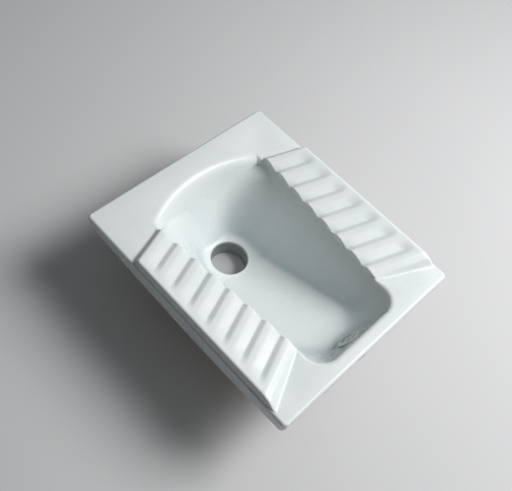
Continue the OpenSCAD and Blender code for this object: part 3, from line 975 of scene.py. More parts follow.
@dataclass
class Treads:
    """Foot treads: tilted tops with a step, an end ramp and grooves across them."""

    rise: float = 18 * MM
    tilt: float = math.atan(13 / 88)
    inset: float = 5 * MM
    start: float = 140 * MM
    end: float = 27 * MM
    rib_angle: float = math.radians(21.7)
    step_run: float = 11 * MM
    ramp_run: float = 27 * MM
    ledge_fall: float = 0.6 * MM
    edge_r: float = 6 * MM
    lip_r: float = 3.4 * MM
    side_lean: float = math.radians(6)
    crest_soft: float = 2.5 * MM
    root_soft: float = 5.0 * MM
    pitch: float = 45 * MM
    groove_depth: float = 5.2 * MM
    groove_lag: float = 2 * MM
    spill: float = 0.55
    spill_run: float = 9 * MM
    easy_run: float = 20 * MM
    steep_run: float = 10 * MM
    groove_soft: float = 0.18
    fade_from: float = 11 * MM
    fade_to: float = 35 * MM
    ledge_share: float = 0.3
    ledge_drop: float = 0.2

    def rib_x(self, deck: Deck, x: Array, y: Array) -> Array:
        """Distance square to the ribs from the middle of the first step.

        Args:
            deck: The deck that carries the treads.
            x: Places across the pan, on the +X side.
            y: Places along the pan.

        Returns:
            The distances, growing to the foot end.
        """
        across = (deck.half_w - x) / math.cos(self.tilt)
        along = y - (deck.half_l - self.start)
        return math.sin(self.rib_angle) * across - math.cos(self.rib_angle) * along

    @property
    def rib_slope(self) -> float:
        """Fall of a rib along the pan for each unit outwards."""
        return math.tan(self.rib_angle) / math.cos(self.tilt)

    def bar_length(self, deck: Deck) -> float:
        """Length of the tread square to its ribs."""
        return (deck.length - self.start - self.end) * math.cos(self.rib_angle)

    def grooves(self, deck: Deck) -> int:
        """Number of grooves."""
        room = self.bar_length(deck) - self.ramp_run - self.steep_run
        return math.floor(room / (self.pitch * math.cos(self.rib_angle)))

    def section(self, deck: Deck) -> tuple[Array, Array]:
        """Height of the tread square to its ribs, without grooves.

        Args:
            deck: The deck that carries the treads.

        Returns:
            Places and heights from the tread's top.
        """
        slope = self.rise / self.step_run
        brow = self.bar_length(deck) - self.ramp_run
        ledge = self.ledge_share * self.ramp_run
        drop = self.ledge_drop * self.rise
        steep = (self.rise - drop) / (self.ramp_run - 1.5 * ledge)
        reach = 60 * MM
        step_top, lip = self.step_run / 2, brow + 1.5 * ledge
        places = np.array([-reach, step_top, brow, brow + ledge, lip, lip + reach])
        low = -drop - self.ledge_fall
        heights = np.array([-(reach + step_top) * slope, 0, 0, -drop, low, low - reach * steep])
        fine = np.linspace(places[0], places[-1], 2400)
        step = fine[1] - fine[0]
        reach_n = int(4 * self.crest_soft / step)
        kernel = np.exp(-0.5 * (np.arange(-reach_n, reach_n + 1) * step / self.crest_soft) ** 2)
        level = np.interp(fine, places, heights)
        padded = np.pad(level, reach_n, mode="reflect", reflect_type="odd")
        return fine, np.convolve(padded, kernel / kernel.sum(), "valid")

    def height(self, deck: Deck, x: Array, y: Array, inner: Array) -> Array:
        """Height of the tread's top without its grooves.

        Args:
            deck: The deck that carries the treads.
            x: Places across the pan, on the +X side.
            y: Places along the pan.
            inner: Distance outwards from the tread's inner side.

        Returns:
            The heights, far below the deck where there is no tread.
        """
        places, levels = self.section(deck)
        plane = deck.height + self.rise - math.tan(self.tilt) * (deck.half_w - x)
        out = plane + np.interp(self.rib_x(deck, x, y), places, levels)
        side = (deck.half_w - x) - (self.inset - 0.5 * MM)
        short = self.edge_r - np.clip(side, 0, self.edge_r)
        out = out - self.edge_r + np.sqrt(self.edge_r**2 - short**2)
        out = out + np.minimum(side, 0) / math.tan(self.side_lean)
        short = self.lip_r - np.clip(inner, 0, self.lip_r)
        out = out - self.lip_r + np.sqrt(self.lip_r**2 - short**2)
        return np.where(inner < -0.01 * MM, -1.0, out)


class Part(IntEnum):
    """Parts of half the bowl's outline, from the foot to the head."""

    FOOT = 0
    FOOT_CORNER = 1
    SIDE = 2
    SHOULDER = 3
    HEAD = 4


@dataclass
class Bowl:
    """Bowl that tapers to the foot and falls to a round outlet near the head."""

    width: float = 274 * MM
    taper: float = 0.0875
    head_margin: float = 66 * MM
    foot_margin: float = 29 * MM
    head_r: float = 249 * MM
    shoulder_r: float = 22 * MM
    foot_r: float = 38 * MM
    floor_depth: float = 80 * MM
    side_run: float = 86 * MM
    floor_splay: float = 0.05
    foot_run: float = 38 * MM
    head_run: float = 64 * MM
    head_round: float = 0.8
    corner_r: float = 112 * MM
    floor_foot_r: float = 56 * MM
    lip_r: float = 24 * MM
    foot_lip_r: float = 8 * MM
    lip_turn: float = math.radians(72)
    wall_lean: float = 0.7
    head_lean: float = 0.75
    foot_lean: float = 0.35
    outlet_r: float = 39 * MM
    outlet_from_head: float = 177 * MM
    outlet_depth: float = 160 * MM
    outlet_lip_r: float = 5 * MM
    rim_land: float = 4 * MM
    wall: float = field(init=False)
    head_y: float = field(init=False)
    foot_y: float = field(init=False)
    centre_y: float = field(init=False)
    outlet_y: float = field(init=False)
    shoulder_y: float = field(init=False)
    outlet_z: float = field(init=False)
    floor_z: float = field(init=False)

    def place(self, deck: Deck) -> None:
        """Works out the stations that hang on the deck's size.

        Args:
            deck: The deck round the bowl.
        """
        self.wall = deck.wall
        self.head_y = deck.half_l - self.head_margin
        self.foot_y = -deck.half_l + self.foot_margin
        self.centre_y = self.head_y - self.head_r
        self.outlet_y = deck.half_l - self.outlet_from_head
        self.shoulder_y = self.centre_y + math.sqrt(self.head_r**2 - self.width**2 / 4)
        self.outlet_z = deck.height - self.outlet_depth
        self.floor_z = deck.height - self.floor_depth

    def inner_side(self, y: Array) -> Array:
        """Place across the pan of the treads' inner side.

        Args:
            y: Places along the pan.

        Returns:
            The places on the +X side.
        """
        return self.width / 2 - self.taper * (self.shoulder_y - y)

    @staticmethod
    def wall_share(depth: float, lean: float) -> float:
        """Share of a wall's run used at a share of its depth."""
        return lean * depth + (1 - lean) * (1 - math.sqrt(max(0.0, 1 - depth * depth)))

    def frame(
        self, side_in: float, foot_in: float, head_in: float, depth: float
    ) -> dict[str, float]:
        """Centres, radii and angles of half an outline.

        Args:
            side_in: Inset of the side.
            foot_in: Inset of the foot.
            head_in: Inset of the head.
            depth: Share of the bowl's depth.

        Returns:
            The measures by name.
        """
        out = min(side_in, 0.0)
        lean = self.taper - (self.taper + self.floor_splay) * self.wall_share(depth, self.wall_lean)
        slant = math.hypot(1, lean)
        rounding = 1 - (1 - depth) ** 8
        half = self.width / 2 - side_in
        r_foot = self.foot_r - out + (self.floor_foot_r - self.foot_r) * depth
        r_head = self.head_r - head_in
        corner = float(smooth_min(self.corner_r, self.head_round * half, 12 * MM))
        r_turn = (self.shoulder_r - out) * (1 - rounding) + corner * rounding
        base = self.width / 2 - lean * self.shoulder_y - side_in * slant
        foot_cy = self.foot_y + foot_in + r_foot
        turn_x = base - r_turn * slant
        a = 1 + lean * lean
        b = lean * turn_x - self.centre_y
        c = turn_x**2 + self.centre_y**2 - (r_head - r_turn) ** 2
        turn_cy = (-b + math.sqrt(b * b - a * c)) / a
        turn_cx = turn_x + lean * turn_cy
        return {
            "r_foot": r_foot,
            "r_head": r_head,
            "r_turn": r_turn,
            "foot_cx": base + lean * foot_cy - r_foot * slant,
            "foot_cy": foot_cy,
            "turn_cx": turn_cx,
            "turn_cy": turn_cy,
            "low": -math.atan(lean),
            "high": math.atan2(turn_cy - self.centre_y, turn_cx),
        }

    def outline(
        self,
        part: Array,
        share: Array,
        side_in: float,
        foot_in: float,
        head_in: float,
        depth: float,
    ) -> Array:
        """Points of half an outline of the bowl.

        Args:
            part: The outline's Part at each point.
            share: Place within the part.
            side_in: Inset of the side.
            foot_in: Inset of the foot.
            head_in: Inset of the head.
            depth: Share of the bowl's depth.

        Returns:
            Plan points, one in each row.
        """
        m = self.frame(side_in, foot_in, head_in, depth)
        foot_line = np.full_like(share, m["foot_cy"] - m["r_foot"])
        straight = np.stack([m["foot_cx"] * share, foot_line], 1)

        def arc(cx: float, cy: float, r: float, start: float, stop: float) -> Array:
            """Points of an arc at the shares."""
            angle = start + (stop - start) * share
            return np.stack([cx + r * np.cos(angle), cy + r * np.sin(angle)], 1)

        quarter = math.pi / 2
        foot = arc(m["foot_cx"], m["foot_cy"], m["r_foot"], -quarter, m["low"])
        turn = arc(m["turn_cx"], m["turn_cy"], m["r_turn"], m["low"], m["high"])
        head = arc(0.0, self.centre_y, m["r_head"], m["high"], quarter)
        away = np.array([math.cos(m["low"]), math.sin(m["low"])])
        a = np.array([m["foot_cx"], m["foot_cy"]]) + m["r_foot"] * away
        b = np.array([m["turn_cx"], m["turn_cy"]]) + m["r_turn"] * away
        side = a + (b - a) * share[:, None]
        return np.choose(part[:, None], [straight, foot, side, turn, head])

    def floor(self, y: Array) -> Array:
        """Height of the floor along the pan.

        Args:
            y: Places along the pan.

        Returns:
            The heights, an even fall from the foot to the outlet.
        """
        start = self.foot_y + self.foot_run
        stop = self.outlet_y - self.outlet_r - self.outlet_lip_r
        share = np.clip((y - start) / (stop - start), 0, 1)
        return self.floor_z + (self.outlet_z - self.floor_z) * share


@dataclass
class Spokes:
    """Lines of the pan's skin, from the deck's edge to the bowl's rim.

    Each spoke has its Part of the outline and its share of it, its length along the
    deck's edge, its outer point there and the inward direction, the edge and the rim
    of the bowl's rolled lip, and the width of that lip.
    """

    part: Array
    share: Array
    lengths: Array
    outer: Array
    inward: Array
    edge: Array
    rim: Array
    lip: Array


@dataclass
class GlazedPan:
    """Deck, treads and bowl, cast and glazed as one piece."""

    deck: Deck = field(default_factory=Deck)
    treads: Treads = field(default_factory=Treads)
    bowl: Bowl = field(default_factory=Bowl)
    foot_n: int = 26
    foot_corner_n: int = 26
    side_n: int = 152
    shoulder_n: int = 32
    head_n: int = 56
    face_n: int = 5
    middle_n: int = 24
    inner_n: int = 48
    under_n: int = 40
    foot_reach: float = 100 * MM
    lip_n: int = 12
    wall_n: int = 26
    floor_n: int = 14
    rim_round: float = 2.6 * MM
    floor_round: float = 10 * MM
    under_round: float = 1.6 * MM
    inner_bend: float = 20 * MM
    under_bend: float = 9 * MM
    # Painted shade and light: hollows and the lower side and foot walls darker, their tops lighter;
    # partly pooled glaze.
    wall_shade_and_light: float = 0.15
    hollow_pool_and_shade: float = 5.0
    hollow_rounds: int = 14
    wall_shade_rounds: int = 8
    shortest_edge: float = 0.4 * MM
    waterway_r: float = 18.2 * MM
    waterway_z: float = 155 * MM
    edge_rings: tuple[float, ...] = (
        0, 0.08, 0.3, 0.7, 1.2, 1.7, 2.2, 2.6, 2.9, 3.2,
        3.5, 3.8, 4.1, 4.4, 4.55, 4.8, 5.3, 6.1, 7.3,
    )
    side_rings: tuple[float, ...] = (3.4, 2.6, 1.9, 1.3, 0.8, 0.4, 0.12, 0.02)
    # Painted shade: near-black share on the outlet's lip and bore rings.
    bore_shade_shares: tuple[float, ...] = (0.3, 0.6, 0.9, 1, 1, 1)
    probe: float = 0.02 * MM

    def __post_init__(self) -> None:
        """Places the bowl in the deck."""
        self.bowl.place(self.deck)

    def spokes(self) -> Spokes:
        """Lays out the spokes of the half pan, from the foot to the head.

        Returns:
            The spokes.
        """
        deck, treads, bowl = self.deck, self.treads, self.bowl
        m = bowl.frame(0, 0, 0, 0)
        ends = deck.edge_stations()
        tiny = 0.15 * MM

        def rim_at(part: Part, share: Array) -> Array:
            """Rim points of one part."""
            return bowl.outline(np.full(len(share), int(part)), share, 0, 0, 0, 0)

        # Foot and its corner
        u = np.linspace(0, 1, self.foot_n, endpoint=False)
        foot = (np.zeros(len(u), int), u, self.foot_reach * u, np.full(len(u), bowl.foot_lip_r))
        a, b = rim_at(Part.SIDE, np.array([0.0, 1.0]))
        slope = treads.rib_slope
        a_out = a[1] - slope * (deck.half_w - a[0])
        u = np.linspace(0, 1, self.foot_corner_n, endpoint=False)
        stops = [self.foot_reach, ends[1], ends[2], ends[2] + a_out + deck.half_l - deck.corner_r]
        corner = (
            np.ones(len(u), int), u, np.interp(u, [0, 0.5, 0.85, 1], stops),
            np.full(len(u), bowl.foot_lip_r),
        )

        # Side, with more spokes at each steep slope
        x_a, x_b = (float(treads.rib_x(deck, p[0], p[1])) for p in (a, b))
        pitch = treads.pitch * math.cos(treads.rib_angle)
        brow = treads.bar_length(deck) - treads.ramp_run

        def closeness(x: Array) -> Array:
            """Density of spokes square to the ribs."""
            off = (x + pitch / 2) % pitch - pitch / 2
            grooved = np.where((x > pitch / 2) & (x < brow), 1, 0)
            ramp = np.exp(-(((x - brow - 0.5 * treads.ramp_run) / (12 * MM)) ** 2))
            return 1 + grooved * 1.5 * np.exp(-((off / (6 * MM)) ** 2)) + 0.9 * ramp

        xs = graded(x_a, x_b, self.side_n + 1, closeness)[:-1]
        share = (x_a - xs) / (x_a - x_b)
        rim = rim_at(Part.SIDE, share)
        y_out = rim[:, 1] - slope * (deck.half_w - rim[:, 0])
        fade = smooth_step(treads.bar_length(deck) - 14 * MM, x_a, xs)
        side = (
            np.full(len(xs), int(Part.SIDE)), share, ends[2] + y_out + deck.half_l - deck.corner_r,
            tiny + (bowl.foot_lip_r - tiny) * fade,
        )

        # Shoulder: spokes come in along the ribs, then turn over the rolled lip
        y_end = b[1]
        wide = bowl.head_r + bowl.lip_r
        for _ in range(30):
            y_end = bowl.centre_y + math.sqrt(wide**2 - float(bowl.inner_side(y_end)) ** 2)

        def step_closeness(y: Array) -> Array:
            """Density of spokes along the treads' inner side."""
            x = treads.rib_x(deck, bowl.inner_side(y), y)
            return 1 + 1.5 * np.exp(-((x / (7 * MM)) ** 2))

        ys = graded(b[1], y_end, self.shoulder_n + 1, step_closeness)[:-1]
        inner = np.stack([bowl.inner_side(ys), ys], 1)
        last_angle = math.atan2(y_end - bowl.centre_y, float(bowl.inner_side(y_end)))
        turn_length = m["r_turn"] * (m["high"] - m["low"])
        total = turn_length + bowl.head_r * (last_angle - m["high"])
        along = total * (ys - b[1]) / (y_end - b[1])
        arc_length = bowl.head_r * (math.pi / 2 - m["high"])
        on_turn = along < turn_length
        part = np.where(on_turn, int(Part.SHOULDER), int(Part.HEAD))
        share = np.where(on_turn, along / turn_length, (along - turn_length) / arc_length)
        y_out = ys - slope * (deck.half_w - inner[:, 0])
        shoulder_lengths = ends[2] + y_out + deck.half_l - deck.corner_r

        # Head
        u = np.linspace(0, 1, self.head_n + 1)
        turn = np.interp(u, [0, 0.3, 0.46, 1], [0, 0.16, 0.3, 1])
        angle = last_angle + (math.pi / 2 - last_angle) * turn
        y_out = y_end - slope * (deck.half_w - float(bowl.inner_side(y_end)))
        first = ends[2] + y_out + deck.half_l - deck.corner_r
        head = (
            np.full(len(u), int(Part.HEAD)), (angle - m["high"]) / (math.pi / 2 - m["high"]),
            np.interp(u, [0, 0.3, 0.46, 1], [first, ends[3], ends[4], ends[5]]),
        )
        head_edge = np.stack([wide * np.cos(angle), bowl.centre_y + wide * np.sin(angle)], 1)

        part = np.concatenate([foot[0], corner[0], side[0], part, head[0]])
        share = np.concatenate([foot[1], corner[1], side[1], share, head[1]])
        lengths = np.concatenate([foot[2], corner[2], side[2], shoulder_lengths, head[2]])
        rim = bowl.outline(part, share, 0, 0, 0, 0)
        near = np.concatenate([foot[3], corner[3], side[3]])
        away = bowl.outline(part, share, -MM, -MM, -MM, 0)[: len(near)] - rim[: len(near)]
        away[self.foot_n + self.foot_corner_n :] = [math.cos(m["low"]), math.sin(m["low"])]
        away /= np.linalg.norm(away, axis=1)[:, None]
        edge = np.concatenate([rim[: len(near)] + away * near[:, None], inner, head_edge])
        outer, inward = deck.edge(lengths)
        lip = np.linalg.norm(edge - rim, axis=1)
        return Spokes(part, share, lengths, outer, inward, edge, rim, lip)

    def top(self, spokes: Spokes) -> tuple[Array, Array]:
        """Rings from the deck's edge over the tread to the foot of its inner side.

        Args:
            spokes: The spokes of the half pan.

        Returns:
            Points by ring and spoke, and the share of the grooves that each takes.
        """
        deck, treads, bowl = self.deck, self.treads, self.bowl
        run = spokes.edge - spokes.outer
        length = np.linalg.norm(run, axis=1)
        way = run / length[:, None]
        square = np.maximum((way * spokes.inward).sum(1), 0.35)
        near = np.array(self.edge_rings) * MM
        start = near[:, None] / square
        slant = math.hypot(1, bowl.taper)

        def inner_gap(points: Array) -> Array:
            """Distance outwards from the treads' inner side."""
            return (points[..., 0] - bowl.inner_side(points[..., 1])) / slant

        def level(points: Array) -> Array:
            """Height of the pan's upper face."""
            x, y = points[..., 0], points[..., 1]
            tread = treads.height(deck, x, y, inner_gap(points))
            return smooth_max(deck.face(x, y), tread, treads.root_soft)

        # Where the inner side is low, its rings spread over the deck instead
        probe = spokes.edge - way * self.probe
        stand = level(probe) - deck.dish(probe[:, 0], probe[:, 1])
        spread = np.clip(4 * MM - stand, 0, 4 * MM)
        inner_cos = np.where(spokes.part >= Part.SIDE, 0.95, 1.0)
        inner_cos = np.where(spokes.lengths > deck.edge_stations()[3], 1.0, inner_cos)
        gaps = np.array(self.side_rings) * MM
        stop = length - (spread + gaps[:, None]) / inner_cos
        middle = start[-1] + (stop[0] - start[-1]) * eased_gaps(self.middle_n + 1)[1:-1, None]
        places = np.concatenate([start, middle, stop])
        points = spokes.outer + places[..., None] * way
        height = level(points)
        height[0] = deck.height - deck.edge_r
        flat = deck.dish(points[-1][:, 0], points[-1][:, 1])
        stand = height[-1] - flat
        shares = np.arange(1, self.face_n + 1) / self.face_n
        lower = spokes.edge - way * (spread + self.probe)[:, None] * (1 - shares)[:, None, None]
        lower_z = deck.dish(lower[..., 0], lower[..., 1]) + stand * (1 - shares)[:, None]
        plan = np.concatenate([points, lower])
        rings = np.dstack([plan, np.concatenate([height, lower_z])])
        press = smooth_step(treads.fade_from, treads.fade_to, deck.half_w - points[..., 0])
        spill = np.exp(-((np.maximum(inner_gap(points), 0) / treads.spill_run) ** 2))
        press = press * (1 + treads.spill * spill)
        press = np.concatenate([press, press[-1] * (1 - shares)[:, None]])
        beside = (spokes.part == Part.SIDE) | (spokes.part == Part.SHOULDER)
        return rings, press * (beside | (spokes.lip < bowl.lip_r - MM))

    def inside(self, spokes: Spokes) -> Array:
        """Rings from the rim down the bowl to the foot of the outlet's bore.

        Args:
            spokes: The spokes of the half pan.

        Returns:
            Points by ring and spoke.
        """
        deck, bowl = self.deck, self.bowl
        top = deck.dish(spokes.edge[:, 0], spokes.edge[:, 1])
        rings = []
        for angle in np.linspace(0, bowl.lip_turn, self.lip_n):
            plan = spokes.edge + (spokes.rim - spokes.edge) * math.sin(angle)
            rings.append(np.column_stack([plan, top - spokes.lip * (1 - math.cos(angle))]))
        start = rings[-1][:, 2]
        for angle in np.linspace(0, math.pi / 2, self.wall_n)[1:]:
            rings.append(self.wall_ring(spokes, math.sin(angle), start, 0.0))
        mouth = self.outlet_ring(spokes, bowl.outlet_r + bowl.outlet_lip_r, 0.0)
        mouth[:, 2] = bowl.floor(mouth[:, 1])
        last = rings[-1]
        for share in np.linspace(0, 1, self.floor_n)[1:]:
            rings.append(last * (1 - share) + mouth * share)
        walls = np.stack(rings)
        walls = np.stack([self.round_off(walls[:, k]) for k in range(walls.shape[1])], 1)
        ends = []
        for angle in np.radians([18, 36, 54, 72, 90]):
            radius = bowl.outlet_r + bowl.outlet_lip_r * (1 - math.sin(angle))
            ring = self.outlet_ring(spokes, radius, 0.0)
            ring[:, 2] = mouth[:, 2] - bowl.outlet_lip_r * (1 - math.cos(angle))
            ends.append(ring)
        foot = self.outlet_ring(spokes, bowl.outlet_r, bowl.outlet_z - bowl.wall)
        ends += [(ends[-1] + foot) / 2, foot]
        return np.concatenate([walls[1:], np.stack(ends)])

    def round_off(self, path: Array) -> Array:
        """Rounds the bends of a wall, the floor's more than the rim's.

        Args:
            path: Points from the rim to the outlet, one in each row.

        Returns:
            The rounded wall, closer together on its bends.
        """
        rim, floor = soften(path, self.rim_round), soften(path, self.floor_round)
        share = smooth_step(0.12, 0.42, np.linspace(0, 1, len(rim)))[:, None]
        return restep(rim * (1 - share) + floor * share, self.inner_n, self.inner_bend)

    def wall_ring(self, spokes: Spokes, depth: float, start: Array, grow: float) -> Array:
        """Outline of the wall at a share of its depth.

        Args:
            spokes: The spokes of the half pan.
            depth: Share of the depth.
            start: Height at which each spoke's wall starts.
            grow: Distance outwards and down from the inner face.

        Returns:
            A point for each spoke.
        """
        bowl = self.bowl
        side = bowl.side_run * bowl.wall_share(depth, bowl.wall_lean) - grow
        head = bowl.head_run * bowl.wall_share(depth, bowl.head_lean) - grow
        foot = bowl.foot_run * bowl.wall_share(depth, bowl.foot_lean) - grow
        plan = bowl.outline(spokes.part, spokes.share, side, foot, head, depth)
        low = bowl.floor(plan[:, 1]) - grow
        return np.column_stack([plan, start + (low - start) * depth])

    def outlet_ring(self, spokes: Spokes, radius: float, height: float) -> Array:
        """Circle round the outlet, each point towards its spoke.

        Args:
            spokes: The spokes of the half pan.
            radius: Radius of the circle.
            height: Height of the circle.

        Returns:
            A point for each spoke.
        """
        bowl = self.bowl
        runs = (bowl.side_run, bowl.foot_run, bowl.head_run)
        plan = bowl.outline(spokes.part, spokes.share, *runs, 1.0)
        way = plan - [0, bowl.outlet_y]
        way /= np.linalg.norm(way, axis=1)[:, None]
        plan = way * radius + [0, bowl.outlet_y]
        return np.column_stack([plan, np.full(len(plan), height)])

    def underneath(self, spokes: Spokes) -> tuple[Array, Array]:
        """Rings from the outlet's foot under the bowl and deck to the skirt's face.

        Args:
            spokes: The spokes of the half pan.

        Returns:
            Points by ring and spoke, and how bare of glaze each is.
        """
        deck, bowl = self.deck, self.bowl
        wall = bowl.wall
        top = deck.dish(spokes.edge[:, 0], spokes.edge[:, 1])
        start = top - spokes.lip * (1 - math.cos(bowl.lip_turn))
        foot_z = bowl.outlet_z - wall
        bore = self.outlet_ring(spokes, bowl.outlet_r, foot_z)
        horn = self.outlet_ring(spokes, bowl.outlet_r + wall, foot_z)
        rings = [bore, horn]
        edge_of_floor = self.wall_ring(spokes, 1.0, start, wall)
        for share in np.linspace(0, 1, 12)[1:]:
            rings.append(horn * (1 - share) + edge_of_floor * share)
        for angle in np.linspace(math.pi / 2, 0.2, 20)[1:]:
            rings.append(self.wall_ring(spokes, math.sin(angle), start, wall))
        seam_in = (-wall, -wall, -max(wall, bowl.lip_r + bowl.rim_land))
        collar = bowl.outline(spokes.part, spokes.share, *seam_in, 0.0)
        lean = math.tan(deck.skirt_lean)
        plate, _ = deck.edge(spokes.lengths, wall + lean * deck.skirt_middle, 8 * MM)
        collar_in, plate_in = (deck.from_edge(p[:, 0], p[:, 1]) for p in (collar, plate))
        inner_ok = collar_in > plate_in + MM
        collar = np.where(inner_ok[:, None], collar, plate + (spokes.edge - plate) * 0.12)
        for share in np.linspace(0, 1, 9):
            plan = collar * (1 - share) + plate * share
            rings.append(np.column_stack([plan, deck.dish(plan[:, 0], plan[:, 1]) - wall]))
        foot = deck.skirt_foot_z(spokes.outer)
        upper = rings[-1][:, 2]
        for share in (0.5, 1.0):
            rings.append(np.column_stack([plate, upper + (foot - upper) * share]))
        depth = deck.height - deck.edge_r - foot
        low, _ = deck.edge(spokes.lengths, lean * depth, deck.corner_r)
        for share in (0.5, 1.0):
            rings.append(np.column_stack([plate + (low - plate) * share, foot]))
        for share in (0.33, 0.66, 1.0):
            plan, _ = deck.edge(spokes.lengths, lean * depth * (1 - share), deck.corner_r)
            rings.append(np.column_stack([plan, foot + depth * share]))
        path = np.stack(rings)
        soft = [soften(path[:, k], self.under_round) for k in range(path.shape[1])]
        path = np.stack([restep(line, self.under_n, self.under_bend) for line in soft], 1)
        near_foot = path[..., 2] - foot[None]
        outside = deck.from_edge(path[..., 0], path[..., 1]) < wall + 6 * MM
        bare = np.where(outside, 1 - smooth_step(0.8 * MM, 2.6 * MM, near_foot), 0.0)
        inner_face = deck.from_edge(path[..., 0], path[..., 1]) > 6 * MM
        bare = np.maximum(bare, np.where(inner_face, 0.75, 0.0))
        return path[1:-1], bare[1:-1]

    def build(self, glaze: Material) -> Piece:
        """Builds the pan's skin and presses its grooves.

        Args:
            glaze: The glazed china.

        Returns:
            The piece.
        """
        spokes = self.spokes()
        top, press = self.top(spokes)
        inside = self.inside(spokes)
        under, bare = self.underneath(spokes)
        rings = np.concatenate([top, inside, under])
        count = len(rings)
        shares = np.zeros((3, count, rings.shape[1]))
        shares[0, : len(top)] = press
        shares[1, count - len(under) :] = bare
        last = len(top) + len(inside)
        # Painted shade: the rings round the outlet's lip and down its bore go near black.
        shares[2, last - len(self.bore_shade_shares) : last] = np.array(self.bore_shade_shares)[:, None]
        rings[:, 0, 0] = rings[:, -1, 0] = 0
        mirror = rings[:, -2:0:-1] * [-1, 1, 1]
        whole = np.concatenate([rings, mirror], 1)
        shares = np.concatenate([shares, shares[:, :, -2:0:-1]], 2)
        sides = whole.shape[1]
        piece = mesh_piece("china_pan", whole.reshape(-1, 3), ring_faces(count, sides, True), glaze)
        for name, values in zip(("press", "bare", "bore"), shares):
            set_shares(piece, name, values.ravel())
        self.press_tree(glaze).shape(piece)
        self.cut_waterway(piece)
        return piece

    def press_tree(self, glaze: Material) -> ShapeTree:
        """Draws the tree that presses the grooves into both treads.

        Args:
            glaze: Material of the pan.

        Returns:
            The tree, with its sizes as named inputs.
        """
        deck, treads = self.deck, self.treads
        tree = ShapeTree("tread_grooves", glaze)
        pitch = tree.size("Rib pitch", treads.pitch * math.cos(treads.rib_angle))
        depth = tree.size("Groove depth", treads.groove_depth)
        easy = tree.size("Easy slope", treads.easy_run)
        steep = tree.size("Steep slope", treads.steep_run)
        angle = tree.size("Rib angle", treads.rib_angle)
        tilt = tree.size("Tread tilt", treads.tilt)
        half_w = tree.size("Half width", deck.half_w)
        first = tree.size("First step", deck.half_l - treads.start - treads.groove_lag)
        soft = tree.size("Softness", treads.groove_soft)
        number = tree.size("Grooves", treads.grooves(deck), "NodeSocketInt")
        place = tree.put("ShaderNodeSeparateXYZ")
        tree.join(tree.put("GeometryNodeInputPosition").outputs[0], place.inputs[0])
        across = tree.math("SUBTRACT", half_w, tree.math("ABSOLUTE", place.outputs["X"]))
        across = tree.math("DIVIDE", across, tree.math("COSINE", tilt))
        along = tree.math("SUBTRACT", place.outputs["Y"], first)
        rib_x = tree.math(
            "SUBTRACT",
            tree.math("MULTIPLY", tree.math("SINE", angle), across),
            tree.math("MULTIPLY", tree.math("COSINE", angle), along),
        )
        half = tree.math("MULTIPLY", steep, 0.5)
        back = tree.math("ADD", tree.math("ADD", half, easy), 4 * MM)
        phase = tree.math("FLOORED_MODULO", tree.math("ADD", rib_x, back), pitch)
        phase = tree.math("SUBTRACT", phase, back)
        fall = tree.math("ADD", tree.math("ADD", phase, half), easy)
        fall = tree.math("DIVIDE", fall, easy)
        climb = tree.math("DIVIDE", tree.math("SUBTRACT", half, phase), steep)
        shape = tree.math("SMOOTH_MIN", fall, climb, soft)
        shape = tree.math("SMOOTH_MAX", shape, 0.0, soft)
        after = tree.math("GREATER_THAN", rib_x, tree.math("ADD", half, 3 * MM))
        end = tree.math("ADD", tree.math("MULTIPLY", pitch, number), tree.math("ADD", half, 3 * MM))
        before = tree.math("LESS_THAN", rib_x, end)
        weight = tree.put("GeometryNodeInputNamedAttribute", data_type="FLOAT")
        weight.inputs["Name"].default_value = "press"
        drop = tree.math("MULTIPLY", shape, depth)
        drop = tree.math("MULTIPLY", drop, weight.outputs["Attribute"])
        drop = tree.math("MULTIPLY", tree.math("MULTIPLY", after, before), drop)
        move = tree.put("GeometryNodeSetPosition")
        tree.join(tree.start.outputs["Geometry"], move.inputs["Geometry"])
        tree.join(tree.vector(Z=tree.math("MULTIPLY", drop, -1.0)), move.inputs["Offset"])
        tree.close(move.outputs[0])
        return tree

    def cut_waterway(self, piece: Piece) -> None:
        """Cuts the inlet's waterway through the bowl's foot wall.

        Args:
            piece: The pan.
        """
        bm = bmesh.new()
        turn = Matrix.Rotation(math.pi / 2, 4, "X")
        middle_y = self.bowl.foot_y + 0.35 * self.bowl.foot_run
        bmesh.ops.create_cone(
            bm, cap_ends=True, segments=96, radius1=self.waterway_r, radius2=self.waterway_r,
            depth=40 * MM, matrix=Matrix.Translation((0, middle_y, self.waterway_z)) @ turn,
        )
        cutter = add_tool("waterway", bm)
        cut = piece.modifiers.new("waterway", "BOOLEAN")
        cut.operation = "DIFFERENCE"
        cut.solver = "EXACT"
        cut.object = cutter
        settle(piece)
        bpy.data.meshes.remove(cutter.data)

    def dress(self, piece: Piece) -> None:
        """Works out where the glaze pools and thins, and paints shade and light down the bowl's
        walls.

        Args:
            piece: The pan.
        """
        mesh = piece.data
        count = len(mesh.vertices)
        place, normal = np.empty((2, count, 3))
        for name, values in (("co", place), ("normal", normal)):
            mesh.vertices.foreach_get(name, values.reshape(-1))
        ends = np.empty(len(mesh.edges) * 2, int)
        mesh.edges.foreach_get("vertices", ends)
        a, b = ends[0::2], ends[1::2]
        gap = np.maximum(np.linalg.norm(place[a] - place[b], axis=1), self.shortest_edge)
        weight = 1 / gap

        def spread(values: Array, rounds: int) -> Array:
            """Evens out numbers over neighbouring points."""
            share = np.bincount(a, weight, count) + np.bincount(b, weight, count)
            for _ in range(rounds):
                total = np.bincount(a, weight * values[b], count)
                total = total + np.bincount(b, weight * values[a], count)
                values = 0.35 * values + 0.65 * total / np.maximum(share, 1e-9)
            return values

